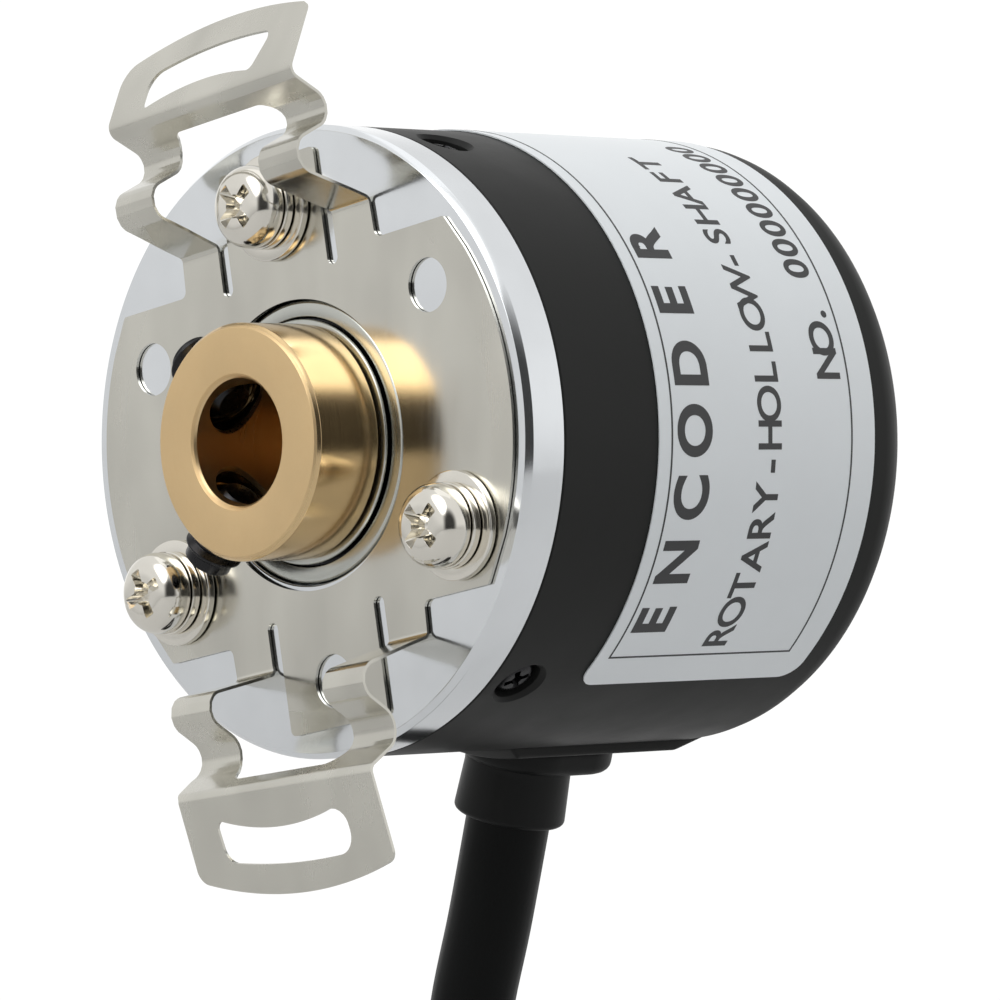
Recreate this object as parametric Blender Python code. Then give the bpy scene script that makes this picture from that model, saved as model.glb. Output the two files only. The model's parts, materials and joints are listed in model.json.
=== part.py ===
"""Hollow-shaft rotary encoder with a 40 mm housing.

Frame: metres, +Z up. The shaft's axis is the world Y axis and the origin is the centre of the
flange's front face. The hub points along -Y and the cover's rear face along +Y. Angles round the
shaft are measured from +X towards +Z, in degrees.
"""

import math

import bmesh
import bpy
from mathutils import Matrix, Vector

MM = 0.001

# Housing
BODY_RADIUS = 20 * MM
BODY_LENGTH = 35.5 * MM
REAR_EDGE_RADIUS = 3 * MM
FLANGE_RIM = 3.05 * MM
FLANGE_CHAMFER = 0.4 * MM
FLANGE_WEB = 5 * MM
SPIGOT_RADIUS = 18.25 * MM
SPIGOT_BORE = 16.2 * MM
SPIGOT_END = 10.2 * MM
GROOVE_RADIUS = 17.1 * MM
GROOVE_START = 7.4 * MM
GROOVE_END = 8.9 * MM
COVER_BORE = 18.75 * MM
COVER_START = 3.2 * MM
COVER_WALL_Y = 34 * MM
COVER_HOLE = 6.3 * MM
BOSS_RADIUS = 20.7 * MM

# Shaft and hub
SHAFT_BORE = 4 * MM
SHAFT_RADIUS = 5.9 * MM
HUB_RADIUS = 7.45 * MM
HUB_FRONT = -5.85 * MM
HUB_BACK = -0.75 * MM
SHAFT_END = 35.4 * MM
SET_SCREW_ANGLES = (143, -128)
SET_SCREW_Y = -3 * MM
SET_SCREW_RADIUS = 1.65 * MM
SET_SCREW_END = 9.7 * MM

# Bearings, 12 x 18 x 4
BEARING_WIDTH = 3.9 * MM
FRONT_BEARING_Y = 0.05 * MM
REAR_BEARING_Y = 10.05 * MM
BALL_CIRCLE = 7.4 * MM
BALL_RADIUS = 0.75 * MM
BALL_COUNT = 9

# Screw pattern of the flange: three screws and three free holes, 60 degrees apart
PATTERN_ANGLE = 101
PATTERN_RADIUS = 15.05 * MM
SCREW_LAG = 0.85
SCREW_ANGLES = tuple(PATTERN_ANGLE - SCREW_LAG - 120 * i for i in range(3))
FREE_HOLE_ANGLES = tuple(PATTERN_ANGLE - 60 - 120 * i for i in range(3))
COVER_SCREW_ANGLES = tuple(PATTERN_ANGLE - 30 - 120 * i for i in range(3))
COVER_SCREW_Y = 6 * MM

# Spring plate, as drawn flat: u across the ears, w along them
SHEET = 0.3 * MM
PLATE_BACK = -0.1 * MM
PLATE_RADIUS = 19 * MM
PLATE_HOLE = 9.2 * MM
HOLE_DROP = 0.2 * MM
SCREW_HOLE = 1.7 * MM
SHOULDER_W = 11.3 * MM
SLIT_END_W = {1: 10.4 * MM, -1: 10.75 * MM}
LEG_INNER_U = 5.3 * MM
LEG_OUTER_U = 8.95 * MM
TAB_U = 4.45 * MM
TAB_END_W = 18 * MM
BAR_W = 20.8 * MM
CREASE_W = 21.8 * MM
# Ears of the upper (1) and lower (-1) side, in millimetres: the u of both edges and the end's arc
EAR_EDGES = {1: (-9.0, 8.9), -1: (-8.35, 8.9)}
EAR_END = {1: ((0.9, -8.8), 36.0), -1: ((0.8, -0.3), 28.65)}
# Slots: the arcs nearer to and farther from the shaft, each with the u of its two ends
SLOT_NEAR = {1: ((-0.1, 1.15), 22.14, (-5.7, 4.5)), -1: ((0.25, 7.4), 16.75, (-5.3, 5.4))}
SLOT_FAR = {1: ((0.9, -9.95), 35.45, (-5.2, 5.8)), -1: ((1.9, -16.8), 43.3, (-4.9, 5.2))}
# Back of the sheet ahead of the flange along each leg: (w, depth, bend radius), in millimetres
LEG_PROFILE = {
    1: ((0, 0.1, 0), (13.6, 0.1, 0.5), (16.4, 7.6, 1.9), (19.4, 1.05, 1.9), (21.7, 5.2, 0.9), (30, 0.65, 0)),
    -1: ((0, 0.1, 0), (13.7, 0.1, 0.5), (15.6, 7.75, 1.6), (19.2, 2.65, 1.3), (21.4, 6.6, 0.9), (30, 4.9, 0)),
}

# Cable
CABLE_RADIUS = 2.85 * MM
CABLE_ANGLE = -104.5
CABLE_Y = 24.4 * MM
PAD_HALF_WIDTH = 3.9 * MM
PAD_REACH = 3.2 * MM
GLAND_END = 25.8 * MM
COIL_CENTRE = Vector((-8.3 * MM, CABLE_Y, -100.5 * MM))
COIL_RADIUS = 32 * MM
COIL_HALF_THICKNESS = 5.4 * MM
COIL_HALF_WIDTH = 8.6 * MM
# Centre line from the gland to the coil, (x, z) in millimetres, all at the cable's Y
CABLE_ROUTE = (
    (-6.53, -25.3), (-8.25, -32.0), (-10.05, -38.3), (-11.05, -45.3), (-9.95, -52.6),
    (-6.8, -59.3), (-5.5, -61.0),
)
ROUTE_STEPS = 2

ROUND = 32
BEARING_ROUND = 24
SMALL_ROUND = 14

MATERIALS = {
    "aluminium": ((0.78, 0.80, 0.83), 0.18, 1.0),
    "black_cover": ((0.022, 0.022, 0.023), 0.42, 0.0),
    "label": ((0.62, 0.66, 0.70), 0.35, 0.3),
    "brass": ((0.78, 0.55, 0.28), 0.25, 1.0),
    "black_steel": ((0.03, 0.03, 0.032), 0.3, 0.8),
    "spring_steel": ((0.62, 0.60, 0.56), 0.2, 1.0),
    "nickel": ((0.80, 0.78, 0.72), 0.15, 1.0),
    "bearing_steel": ((0.60, 0.61, 0.62), 0.18, 1.0),
    "rubber": ((0.018, 0.019, 0.019), 0.6, 0.0),
    "cable_jacket": ((0.016, 0.017, 0.017), 0.45, 0.0),
    "disc_film": ((0.10, 0.10, 0.11), 0.1, 0.6),
    "board": ((0.02, 0.16, 0.06), 0.35, 0.0),
    "chip": ((0.02, 0.02, 0.02), 0.5, 0.0),
    "white_plastic": ((0.75, 0.74, 0.70), 0.45, 0.0),
    "black_plastic": ((0.03, 0.03, 0.03), 0.5, 0.0),
    "lens": ((0.85, 0.85, 0.88), 0.08, 0.0),
    "copper_cores": ((0.55, 0.12, 0.08), 0.45, 0.0),
}

ALONG_SHAFT = Matrix.Rotation(-math.pi / 2, 4, "X")


# Helpers

def material(name):
    found = bpy.data.materials.get(name)
    if found:
        return found
    colour, roughness, metallic = MATERIALS[name]
    made = bpy.data.materials.new(name)
    made.use_nodes = True
    shader = made.node_tree.nodes["Principled BSDF"]
    shader.inputs["Base Color"].default_value = (*colour, 1)
    shader.inputs["Roughness"].default_value = roughness
    shader.inputs["Metallic"].default_value = metallic
    made.diffuse_color = (*colour, 1)
    return made


def polar(radius, degrees):
    angle = math.radians(degrees)
    return radius * math.cos(angle), radius * math.sin(angle)


def at_pattern(degrees, radius=PATTERN_RADIUS):
    """A line parallel to the shaft; heights along it are world Y."""
    x, z = polar(radius, degrees)
    return Matrix.Translation((x, 0, z)) @ ALONG_SHAFT


def radial(degrees, y):
    """A line square to the shaft; heights along it are distances from the shaft's axis."""
    c, s = polar(1, degrees)
    return Matrix(((0, -s, c, 0), (1, 0, 0, y), (0, c, s, 0), (0, 0, 0, 1)))


def add(name, mesh, colour, place=ALONG_SHAFT, parent=None, smooth=True):
    """One named part. place is its world matrix; a parent empty keeps it where it is."""
    mesh.name = name
    if smooth:
        mesh.shade_smooth()
        mesh.set_sharp_from_angle(angle=math.radians(35))
    mesh.materials.append(material(colour))
    part = bpy.data.objects.new(name, mesh)
    bpy.context.scene.collection.objects.link(part)
    if parent:
        part.parent = parent
        part.matrix_parent_inverse = parent.matrix_basis.inverted()
    part.matrix_basis = place
    return part


def joint_empty(name, location):
    empty = bpy.data.objects.new(name, None)
    empty.empty_display_size = 0.005
    empty.matrix_basis = Matrix.Translation(location)
    bpy.context.scene.collection.objects.link(empty)
    return empty


def guide(name, mesh, place):
    """A cutter or an addition, used by a Boolean modifier and not a part itself."""
    tool = bpy.data.objects.new(name, mesh)
    bpy.context.scene.collection.objects.link(tool)
    tool.matrix_basis = place
    tool.hide_render = True
    tool.display_type = "WIRE"
    return tool


def boolean(part, tool, operation="DIFFERENCE"):
    step = part.modifiers.new(operation.title(), "BOOLEAN")
    step.operation = operation
    step.solver = "EXACT"
    step.object = tool


def finished(bm, name="mesh"):
    bmesh.ops.recalc_face_normals(bm, faces=bm.faces)
    mesh = bpy.data.meshes.new(name)
    bm.to_mesh(mesh)
    bm.free()
    return mesh


def turned(outline, segments=ROUND, start=0, sweep=360):
    """A closed outline of (radius, height), turned about local Z, all round or over a sector."""
    bm = bmesh.new()
    whole = sweep >= 360
    steps = segments if whole else segments + 1
    rings = []
    for radius, height in outline:
        if radius == 0:
            rings.append([bm.verts.new((0, 0, height))] * steps)
            continue
        ring = []
        for i in range(steps):
            x, y = polar(radius, start + sweep * i / segments)
            ring.append(bm.verts.new((x, y, height)))
        rings.append(ring)
    for a, b in zip(rings, rings[1:] + rings[:1]):
        for i in range(segments):
            j = (i + 1) % steps
            corners = list(dict.fromkeys((a[i], a[j], b[j], b[i])))
            if len(corners) > 2:
                bm.faces.new(corners)
    if not whole:
        bm.faces.new([ring[0] for ring in rings])
        bm.faces.new([ring[-1] for ring in rings])
    return finished(bm)


def tube_outline(inner, outer, low, high, chamfer=0.0):
    return [
        (inner, low),
        (outer - chamfer, low),
        (outer, low + chamfer),
        (outer, high - chamfer),
        (outer - chamfer, high),
        (inner, high),
    ] if chamfer else [(inner, low), (outer, low), (outer, high), (inner, high)]


def rod(radius, low, high, segments=SMALL_ROUND):
    return turned([(0, low), (radius, low), (radius, high), (0, high)], segments)


def block(low, high):
    bm = bmesh.new()
    bmesh.ops.create_cube(bm, size=1)
    size = Vector(high) - Vector(low)
    middle = (Vector(high) + Vector(low)) / 2
    bmesh.ops.transform(bm, matrix=Matrix.Translation(middle) @ Matrix.Diagonal((*size, 1)), verts=bm.verts)
    return finished(bm)


def prism(outline, low, high):
    """A flat outline of (x, y), extruded along local Z."""
    bm = bmesh.new()
    face = bm.faces.new([bm.verts.new((x, y, low)) for x, y in outline])
    pulled = bmesh.ops.extrude_face_region(bm, geom=[face])["geom"]
    risen = [item for item in pulled if isinstance(item, bmesh.types.BMVert)]
    bmesh.ops.translate(bm, verts=risen, vec=(0, 0, high - low))
    return finished(bm)


def cross_outline(arm, half_width):
    """The plus-shaped outline of a cross recess."""
    quarter = [(arm, -half_width), (arm, half_width), (half_width, half_width)]
    points = []
    for turn in range(4):
        c, s = round(math.cos(turn * math.pi / 2)), round(math.sin(turn * math.pi / 2))
        points += [(x * c - y * s, x * s + y * c) for x, y in quarter]
    return points


def drill(part, name, radius, low, high, places, segments=SMALL_ROUND):
    """Round holes of one size, cut at each of the places."""
    for number, place in enumerate(places):
        tool = guide(f"cut_{name}_{number}", rod(radius, low, high, segments), place)
        boolean(part, tool)


# Housing

def make_flange():
    seat_front = FRONT_BEARING_Y + BEARING_WIDTH + 0.45 * MM
    seat_back = REAR_BEARING_Y - 0.15 * MM
    boss_end = REAR_BEARING_Y + BEARING_WIDTH + 0.25 * MM
    outline = [
        (9.25 * MM, 0),
        (BODY_RADIUS - FLANGE_CHAMFER, 0),
        (BODY_RADIUS, FLANGE_CHAMFER),
        (BODY_RADIUS, FLANGE_RIM),
        (SPIGOT_RADIUS, FLANGE_RIM),
        (SPIGOT_RADIUS, GROOVE_START),
        (GROOVE_RADIUS, GROOVE_START),
        (GROOVE_RADIUS, GROOVE_END),
        (SPIGOT_RADIUS, GROOVE_END),
        (SPIGOT_RADIUS, SPIGOT_END),
        (SPIGOT_BORE, SPIGOT_END),
        (SPIGOT_BORE, FLANGE_WEB),
        (11 * MM, FLANGE_WEB),
        (11 * MM, boss_end),
        (9 * MM, boss_end),
        (9 * MM, seat_back),
        (8 * MM, seat_back),
        (8 * MM, seat_front),
        (9 * MM, seat_front),
        (9 * MM, 0.25 * MM),
    ]
    flange = add("flange", turned(outline), "aluminium")
    drill(flange, "screw_thread", 1.7 * MM, -MM, 4.2 * MM, [at_pattern(a) for a in SCREW_ANGLES], 12)
    radial_lines = [radial(a, COVER_SCREW_Y) for a in COVER_SCREW_ANGLES]
    drill(flange, "cover_thread", 1.2 * MM, 15 * MM, 21 * MM, radial_lines, 12)


def make_cover():
    fillet = []
    for step in range(6):
        across, along = polar(REAR_EDGE_RADIUS, 90 * step / 5)
        fillet.append((BODY_RADIUS - REAR_EDGE_RADIUS + across, BODY_LENGTH - REAR_EDGE_RADIUS + along))
    outline = [(BODY_RADIUS, COVER_START)] + fillet + [
        (COVER_HOLE, BODY_LENGTH),
        (COVER_HOLE, COVER_WALL_Y),
        (8.5 * MM, COVER_WALL_Y),
        (8.5 * MM, 31.6 * MM),
        (9.8 * MM, 31.6 * MM),
        (9.8 * MM, COVER_WALL_Y),
        (17.4 * MM, COVER_WALL_Y),
        (COVER_BORE, 32.6 * MM),
        (COVER_BORE, COVER_START),
    ]
    cover = add("rear_cover", turned(outline), "black_cover")
    boss_outline = [
        (19.4 * MM, 16.5 * MM),
        (BOSS_RADIUS - 0.4 * MM, 16.5 * MM),
        (BOSS_RADIUS, 16.9 * MM),
        (BOSS_RADIUS, 33 * MM),
        (BOSS_RADIUS - 0.9 * MM, 34 * MM),
        (19.4 * MM, 34 * MM),
    ]
    boss = guide("cover_boss", turned(boss_outline, 8, -CABLE_ANGLE - 22.5, 45), ALONG_SHAFT)
    boolean(cover, boss, "UNION")
    drill(cover, "cable_hole", 4 * MM, 15 * MM, 24 * MM, [radial(CABLE_ANGLE, CABLE_Y)])
    radial_lines = [radial(a, COVER_SCREW_Y) for a in COVER_SCREW_ANGLES]
    drill(cover, "screw_recess", 1.9 * MM, 17 * MM, 22 * MM, radial_lines)


def make_label():
    outline = tube_outline(20.1 * MM, 20.22 * MM, 11.3 * MM, 31.3 * MM)
    add("label", turned(outline, 20, 50.5, -172.5), "label")


def make_seals():
    ring = []
    for step in range(6):
        across, along = polar(0.55 * MM, 60 * step)
        ring.append((17.8 * MM + across, (GROOVE_START + GROOVE_END) / 2 + along))
    add("flange_o_ring", turned(ring), "rubber")
    lip = [
        (8.3 * MM, 31.8 * MM),
        (8.3 * MM, 33.7 * MM),
        (7.2 * MM, 33.7 * MM),
        (6.3 * MM, 33.2 * MM),
        (6.3 * MM, 32.6 * MM),
        (7.2 * MM, 31.8 * MM),
    ]
    add("rear_seal", turned(lip, BEARING_ROUND), "rubber")


# Spring plate

def leg_curve(side):
    """The sheet's back seen from the side with its bends rounded, as (w, depth), in millimetres."""
    corners = [(Vector(corner[:2]), corner[2]) for corner in LEG_PROFILE[side]]
    curve = [corners[0][0]]
    for (before, _), (corner, radius), (after, _) in zip(corners, corners[1:], corners[2:]):
        back, ahead = (before - corner).normalized(), (after - corner).normalized()
        half = back.angle(ahead) / 2
        centre = corner + (back + ahead).normalized() * radius / math.sin(half)
        start = corner + back * radius / math.tan(half) - centre
        end = corner + ahead * radius / math.tan(half) - centre
        steps = 2 if radius < 0.8 else 4
        for i in range(steps + 1):
            curve.append(centre + start.normalized().slerp(end.normalized(), i / steps) * radius)
    curve.append(corners[-1][0])
    return curve


def leg_depth(curve, w):
    """How far the sheet's back lies in front of the flange at w."""
    reach = abs(w) / MM
    for (w0, d0), (w1, d1) in zip(curve, curve[1:]):
        if reach <= w1:
            return (d0 + (d1 - d0) * (reach - w0) / max(w1 - w0, 0.001)) * MM


def arc(radius, start, end, steps, centre=(0, 0)):
    """Points on an arc, with angles from the u axis."""
    points = []
    for i in range(steps + 1):
        u, w = polar(radius, start + (end - start) * i / steps)
        points.append((centre[0] + u, centre[1] + w))
    return points


def bow(centre, radius, start, end, steps):
    """Points on the far side of a circle between two values of u, all given in millimetres."""
    points = []
    for i in range(steps + 1):
        u = start + (end - start) * i / steps
        points.append((u * MM, (centre[1] + math.sqrt(radius ** 2 - (u - centre[0]) ** 2)) * MM))
    return points


def ear_side(side):
    """The outline of one ear, from the right shoulder round to the left one, for w > 0."""
    shoulder = math.asin(SHOULDER_W / PLATE_RADIUS)
    left, right = EAR_EDGES[side]
    over = bow(*EAR_END[side], right - 0.7, left + 0.9, 8)

    def edge(sign, ear, corner_w):
        return [
            (sign * PLATE_RADIUS * math.cos(shoulder), SHOULDER_W),
            (sign * (LEG_OUTER_U + 0.4 * MM), SHOULDER_W),
            (sign * LEG_OUTER_U, SHOULDER_W + 0.4 * MM),
            (sign * LEG_OUTER_U, 20.4 * MM),
            (ear * MM, CREASE_W),
            (ear * MM, corner_w - 0.8 * MM),
        ]
    return edge(1, right, over[0][1]) + over + edge(-1, left, over[-1][1])[::-1]


def leg_opening(side):
    """The opening between the two legs, round the tab, for w > 0."""
    mid_slit = (LEG_INNER_U + TAB_U) / 2
    right = [
        (TAB_U - 0.4 * MM, TAB_END_W),
        (TAB_U, TAB_END_W - 0.4 * MM),
        (TAB_U, SLIT_END_W[side] + 0.3 * MM),
        (mid_slit, SLIT_END_W[side]),
        (LEG_INNER_U, SLIT_END_W[side] + 0.3 * MM),
    ]
    right += arc(1.3 * MM, 0, 90, 3, (LEG_INNER_U - 1.3 * MM, BAR_W - 1.3 * MM))
    return right + [(-u, w) for u, w in reversed(right)]


def slot(side):
    """The curved slot through one ear, with its four corners cut."""
    (near, near_radius, near_ends), (far, far_radius, far_ends) = SLOT_NEAR[side], SLOT_FAR[side]
    inner = bow(near, near_radius, near_ends[1], near_ends[0], 6)
    outer = bow(far, far_radius, far_ends[0], far_ends[1], 6)
    left_u = (min(near_ends[0], far_ends[0]) - 0.35) * MM
    right_u = (max(near_ends[1], far_ends[1]) + 0.3) * MM
    left_w, right_w = (inner[-1][1] + outer[0][1]) / 2, (inner[0][1] + outer[-1][1]) / 2
    left = [(left_u, left_w - 0.5 * MM), (left_u, left_w + 0.3 * MM)]
    right = [(right_u, right_w + 0.5 * MM), (right_u, right_w - 0.3 * MM)]
    return inner + left + outer + right


def flat_sheet():
    """The spring plate's blank as a flat mesh in u and w."""
    half = arc(PLATE_RADIUS, -31, 31, 8)
    bottom = [(u, -w) for u, w in reversed(ear_side(-1))]
    outline = half + ear_side(1) + [(-u, -w) for u, w in half] + bottom
    loops = [outline, arc(PLATE_HOLE, 0, 350, 35, (0, -HOLE_DROP))]
    for sign in (1, -1):
        loops.append([(u, sign * w) for u, w in leg_opening(sign)])
        loops.append([(u, sign * w) for u, w in slot(sign)])
    for degrees in SCREW_ANGLES + FREE_HOLE_ANGLES:
        u, w = polar(PATTERN_RADIUS, degrees - PATTERN_ANGLE + 90)
        drop = HOLE_DROP if degrees in FREE_HOLE_ANGLES else 0
        loops.append(arc(SCREW_HOLE, 0, 330, 11, (u, w - drop)))
    bm = bmesh.new()
    for loop in loops:
        verts = [bm.verts.new((u, w, 0)) for u, w in loop]
        for a, b in zip(verts, verts[1:] + verts[:1]):
            bm.edges.new((a, b))
    bmesh.ops.triangle_fill(bm, use_beauty=True, edges=bm.edges)
    return bm


def make_spring_plate():
    bm = flat_sheet()
    curves = {side: leg_curve(side) for side in (1, -1)}
    for sign in (1, -1):
        for w, _ in curves[sign][1:-1]:
            bmesh.ops.bisect_plane(
                bm, geom=bm.verts[:] + bm.edges[:] + bm.faces[:],
                plane_co=(0, sign * w * MM, 0), plane_no=(0, 1, 0), dist=0.00002,
            )
    for vert in bm.verts:
        side = 1 if vert.co.y > 0 else -1
        reach = abs(vert.co.y)
        on_tab = abs(vert.co.x) < LEG_INNER_U - 0.3 * MM and reach < TAB_END_W + 0.3 * MM
        vert.co.z = leg_depth(curves[side], 0 if on_tab else reach)
    bmesh.ops.dissolve_degenerate(bm, dist=0.00001, edges=bm.edges)
    for face in bm.faces:
        if face.normal.z < 0:
            face.normal_flip()
    mesh = bpy.data.meshes.new("spring_plate")
    bm.to_mesh(mesh)
    bm.free()
    turn = Matrix.Rotation(math.radians(90 - PATTERN_ANGLE), 4, "Y")
    upright = Matrix(((1, 0, 0, 0), (0, 0, -1, 0), (0, 1, 0, 0), (0, 0, 0, 1)))
    plate = add("spring_plate", mesh, "spring_steel", turn @ upright)
    skin = plate.modifiers.new("Thickness", "SOLIDIFY")
    skin.thickness = SHEET
    skin.offset = 1
    skin.use_even_offset = True


# Fasteners

def cross_screw(name, colour, place, head_radius, head, shank_radius, shank, arm):
    """A screw along local Z. head and shank are (low, high); the head's open face is the far end."""
    base, top = head
    side = 1 if top > base else -1
    height = abs(top - base)
    outline = [
        (0, shank[0]),
        (shank_radius, shank[0]),
        (shank_radius, base),
        (head_radius, base),
        (head_radius, base + side * 0.55 * height),
        (head_radius * 0.86, base + side * 0.87 * height),
        (head_radius * 0.6, top),
        (0, top),
    ]
    screw = add(name, turned(outline, SMALL_ROUND), colour, place)
    floor = top - side * 0.55 * height
    proud = top + side * 0.3 * MM
    recess = prism(cross_outline(arm, arm * 0.24), min(floor, proud), max(floor, proud))
    boolean(screw, guide(f"cut_{name}", recess, place))
    return screw


def make_plate_screws():
    for number, degrees in enumerate(SCREW_ANGLES, 1):
        place = at_pattern(degrees)
        turned_in = place @ Matrix.Rotation(math.radians(45 + 20 * number), 4, "Z")
        cross_screw(
            f"plate_screw_{number}", "nickel", turned_in, 2.75 * MM,
            (-1.75 * MM, -3.55 * MM), 1.4 * MM, (3.9 * MM, 0), 1.5 * MM,
        )
        flat = tube_outline(1.6 * MM, 3.45 * MM, -0.9 * MM, -0.5 * MM)
        add(f"flat_washer_{number}", turned(flat, SMALL_ROUND), "nickel", place)
        split = tube_outline(1.6 * MM, 2.7 * MM, -1.65 * MM, -1 * MM)
        add(f"split_washer_{number}", turned(split, SMALL_ROUND, 8, 344), "nickel", turned_in)


def make_cover_screws():
    for number, degrees in enumerate(COVER_SCREW_ANGLES, 1):
        cross_screw(
            f"cover_screw_{number}", "black_steel", radial(degrees, COVER_SCREW_Y), 1.55 * MM,
            (18.45 * MM, 19.55 * MM), 0.9 * MM, (16.5 * MM, 0), 0.9 * MM,
        )


# Bearings

def make_bearing(end, start, facing):
    """A deep-groove bearing from start to start + BEARING_WIDTH; facing is the shielded side."""
    middle = start + BEARING_WIDTH / 2
    low, high = start, start + BEARING_WIDTH
    track = 0.9 * MM
    outer = [
        (7.9 * MM, low),
        (8.55 * MM, low),
        (8.85 * MM, low + 0.3 * MM),
        (8.85 * MM, high - 0.3 * MM),
        (8.55 * MM, high),
        (7.9 * MM, high),
        (7.9 * MM, middle + track),
        (8.3 * MM, middle + track / 2),
        (8.3 * MM, middle - track / 2),
        (7.9 * MM, middle - track),
    ]
    add(f"{end}_bearing_outer", turned(outer, BEARING_ROUND), "bearing_steel")
    inner = [
        (6 * MM, low),
        (6.9 * MM, low),
        (6.9 * MM, middle - track),
        (6.5 * MM, middle - track / 2),
        (6.5 * MM, middle + track / 2),
        (6.9 * MM, middle + track),
        (6.9 * MM, high),
        (6 * MM, high),
    ]
    add(f"{end}_bearing_inner", turned(inner, BEARING_ROUND), "bearing_steel")
    shield_face = middle - facing * (BEARING_WIDTH / 2 - 0.3 * MM)
    shield_back = shield_face + facing * 0.25 * MM
    shield = tube_outline(7.05 * MM, 7.75 * MM, min(shield_face, shield_back), max(shield_face, shield_back))
    add(f"{end}_bearing_shield", turned(shield, BEARING_ROUND), "bearing_steel")
    pivot = joint_empty(f"{end}_cage_axis", (0, middle, 0))
    ring = tube_outline(7.18 * MM, 7.62 * MM, middle - 1.1 * MM, middle + 1.1 * MM)
    cage = add(f"{end}_bearing_cage", turned(ring, 27), "brass", ALONG_SHAFT, pivot)
    for number in range(BALL_COUNT):
        x, z = polar(BALL_CIRCLE, 360 * number / BALL_COUNT)
        bm = bmesh.new()
        bmesh.ops.create_icosphere(bm, subdivisions=1, radius=BALL_RADIUS)
        ball = guide(f"{end}_ball_{number}", finished(bm), Matrix.Translation((x, middle, z)))
        boolean(cage, ball, "UNION")


# Shaft and what turns with it

def make_shaft(axis):
    outline = [
        (SHAFT_BORE + 0.25 * MM, HUB_FRONT),
        (HUB_RADIUS - 0.2 * MM, HUB_FRONT),
        (HUB_RADIUS, HUB_FRONT + 0.2 * MM),
        (HUB_RADIUS, HUB_BACK),
        (SHAFT_RADIUS, HUB_BACK),
        (SHAFT_RADIUS, 14.1 * MM),
        (5.4 * MM, 14.1 * MM),
        (5.4 * MM, 15 * MM),
        (SHAFT_RADIUS, 15 * MM),
        (SHAFT_RADIUS, SHAFT_END - 0.3 * MM),
        (SHAFT_RADIUS - 0.3 * MM, SHAFT_END),
        (SHAFT_BORE + 0.3 * MM, SHAFT_END),
        (SHAFT_BORE, SHAFT_END - 0.3 * MM),
        (SHAFT_BORE, HUB_FRONT + 0.25 * MM),
    ]
    shaft = add("hollow_shaft", turned(outline), "brass", ALONG_SHAFT, axis)
    radial_lines = [radial(a, SET_SCREW_Y) for a in SET_SCREW_ANGLES]
    drill(shaft, "set_screw", SET_SCREW_RADIUS + 0.3 * MM, 2 * MM, 9 * MM, radial_lines, 16)
    add("thrust_ring", turned(tube_outline(6.05 * MM, 7.62 * MM, -0.6 * MM, -0.05 * MM)), "bearing_steel",
        ALONG_SHAFT, axis)
    spacer = tube_outline(6.05 * MM, 6.8 * MM, 4.15 * MM, 9.85 * MM)
    add("bearing_spacer", turned(spacer, BEARING_ROUND), "aluminium", ALONG_SHAFT, axis)
    clip = tube_outline(5.6 * MM, 7.2 * MM, 14.2 * MM, 14.9 * MM)
    add("retaining_ring", turned(clip, 24, 15, 330), "black_steel", ALONG_SHAFT, axis)


def make_set_screws(axis):
    for name, degrees in zip(("a", "b"), SET_SCREW_ANGLES):
        outline = [
            (0, 4.2 * MM),
            (SET_SCREW_RADIUS - 0.5 * MM, 4.2 * MM),
            (SET_SCREW_RADIUS, 4.7 * MM),
            (SET_SCREW_RADIUS, SET_SCREW_END - 0.3 * MM),
            (SET_SCREW_RADIUS - 0.3 * MM, SET_SCREW_END),
            (0, SET_SCREW_END),
        ]
        place = radial(degrees, SET_SCREW_Y)
        x, z = polar(HUB_RADIUS, degrees)
        slide = joint_empty(f"set_screw_{name}_slide", (x, SET_SCREW_Y, z))
        slide.parent = axis
        screw = add(f"set_screw_{name}", turned(outline, 16), "black_steel", place, slide)
        screw.matrix_parent_inverse = (axis.matrix_basis @ slide.matrix_basis).inverted()
        six = [polar(1 * MM, 60 * i) for i in range(6)]
        socket = prism(six, SET_SCREW_END - 1.8 * MM, SET_SCREW_END + 1 * MM)
        boolean(screw, guide(f"cut_socket_{name}", socket, place))


def make_disc(axis):
    hub = [
        (6.05 * MM, 15.3 * MM),
        (8.2 * MM, 15.3 * MM),
        (8.2 * MM, 16.6 * MM),
        (7 * MM, 16.6 * MM),
        (7 * MM, 17.9 * MM),
        (6.05 * MM, 17.9 * MM),
    ]
    add("disc_hub", turned(hub, BEARING_ROUND), "aluminium", ALONG_SHAFT, axis)
    disc = tube_outline(7.15 * MM, 11.5 * MM, 16.75 * MM, 17.1 * MM)
    add("code_disc", turned(disc), "disc_film", ALONG_SHAFT, axis)
    clamp = tube_outline(7.15 * MM, 8.3 * MM, 17.25 * MM, 17.7 * MM)
    add("disc_clamp_ring", turned(clamp, BEARING_ROUND), "aluminium", ALONG_SHAFT, axis)


# Optics and electronics

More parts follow.
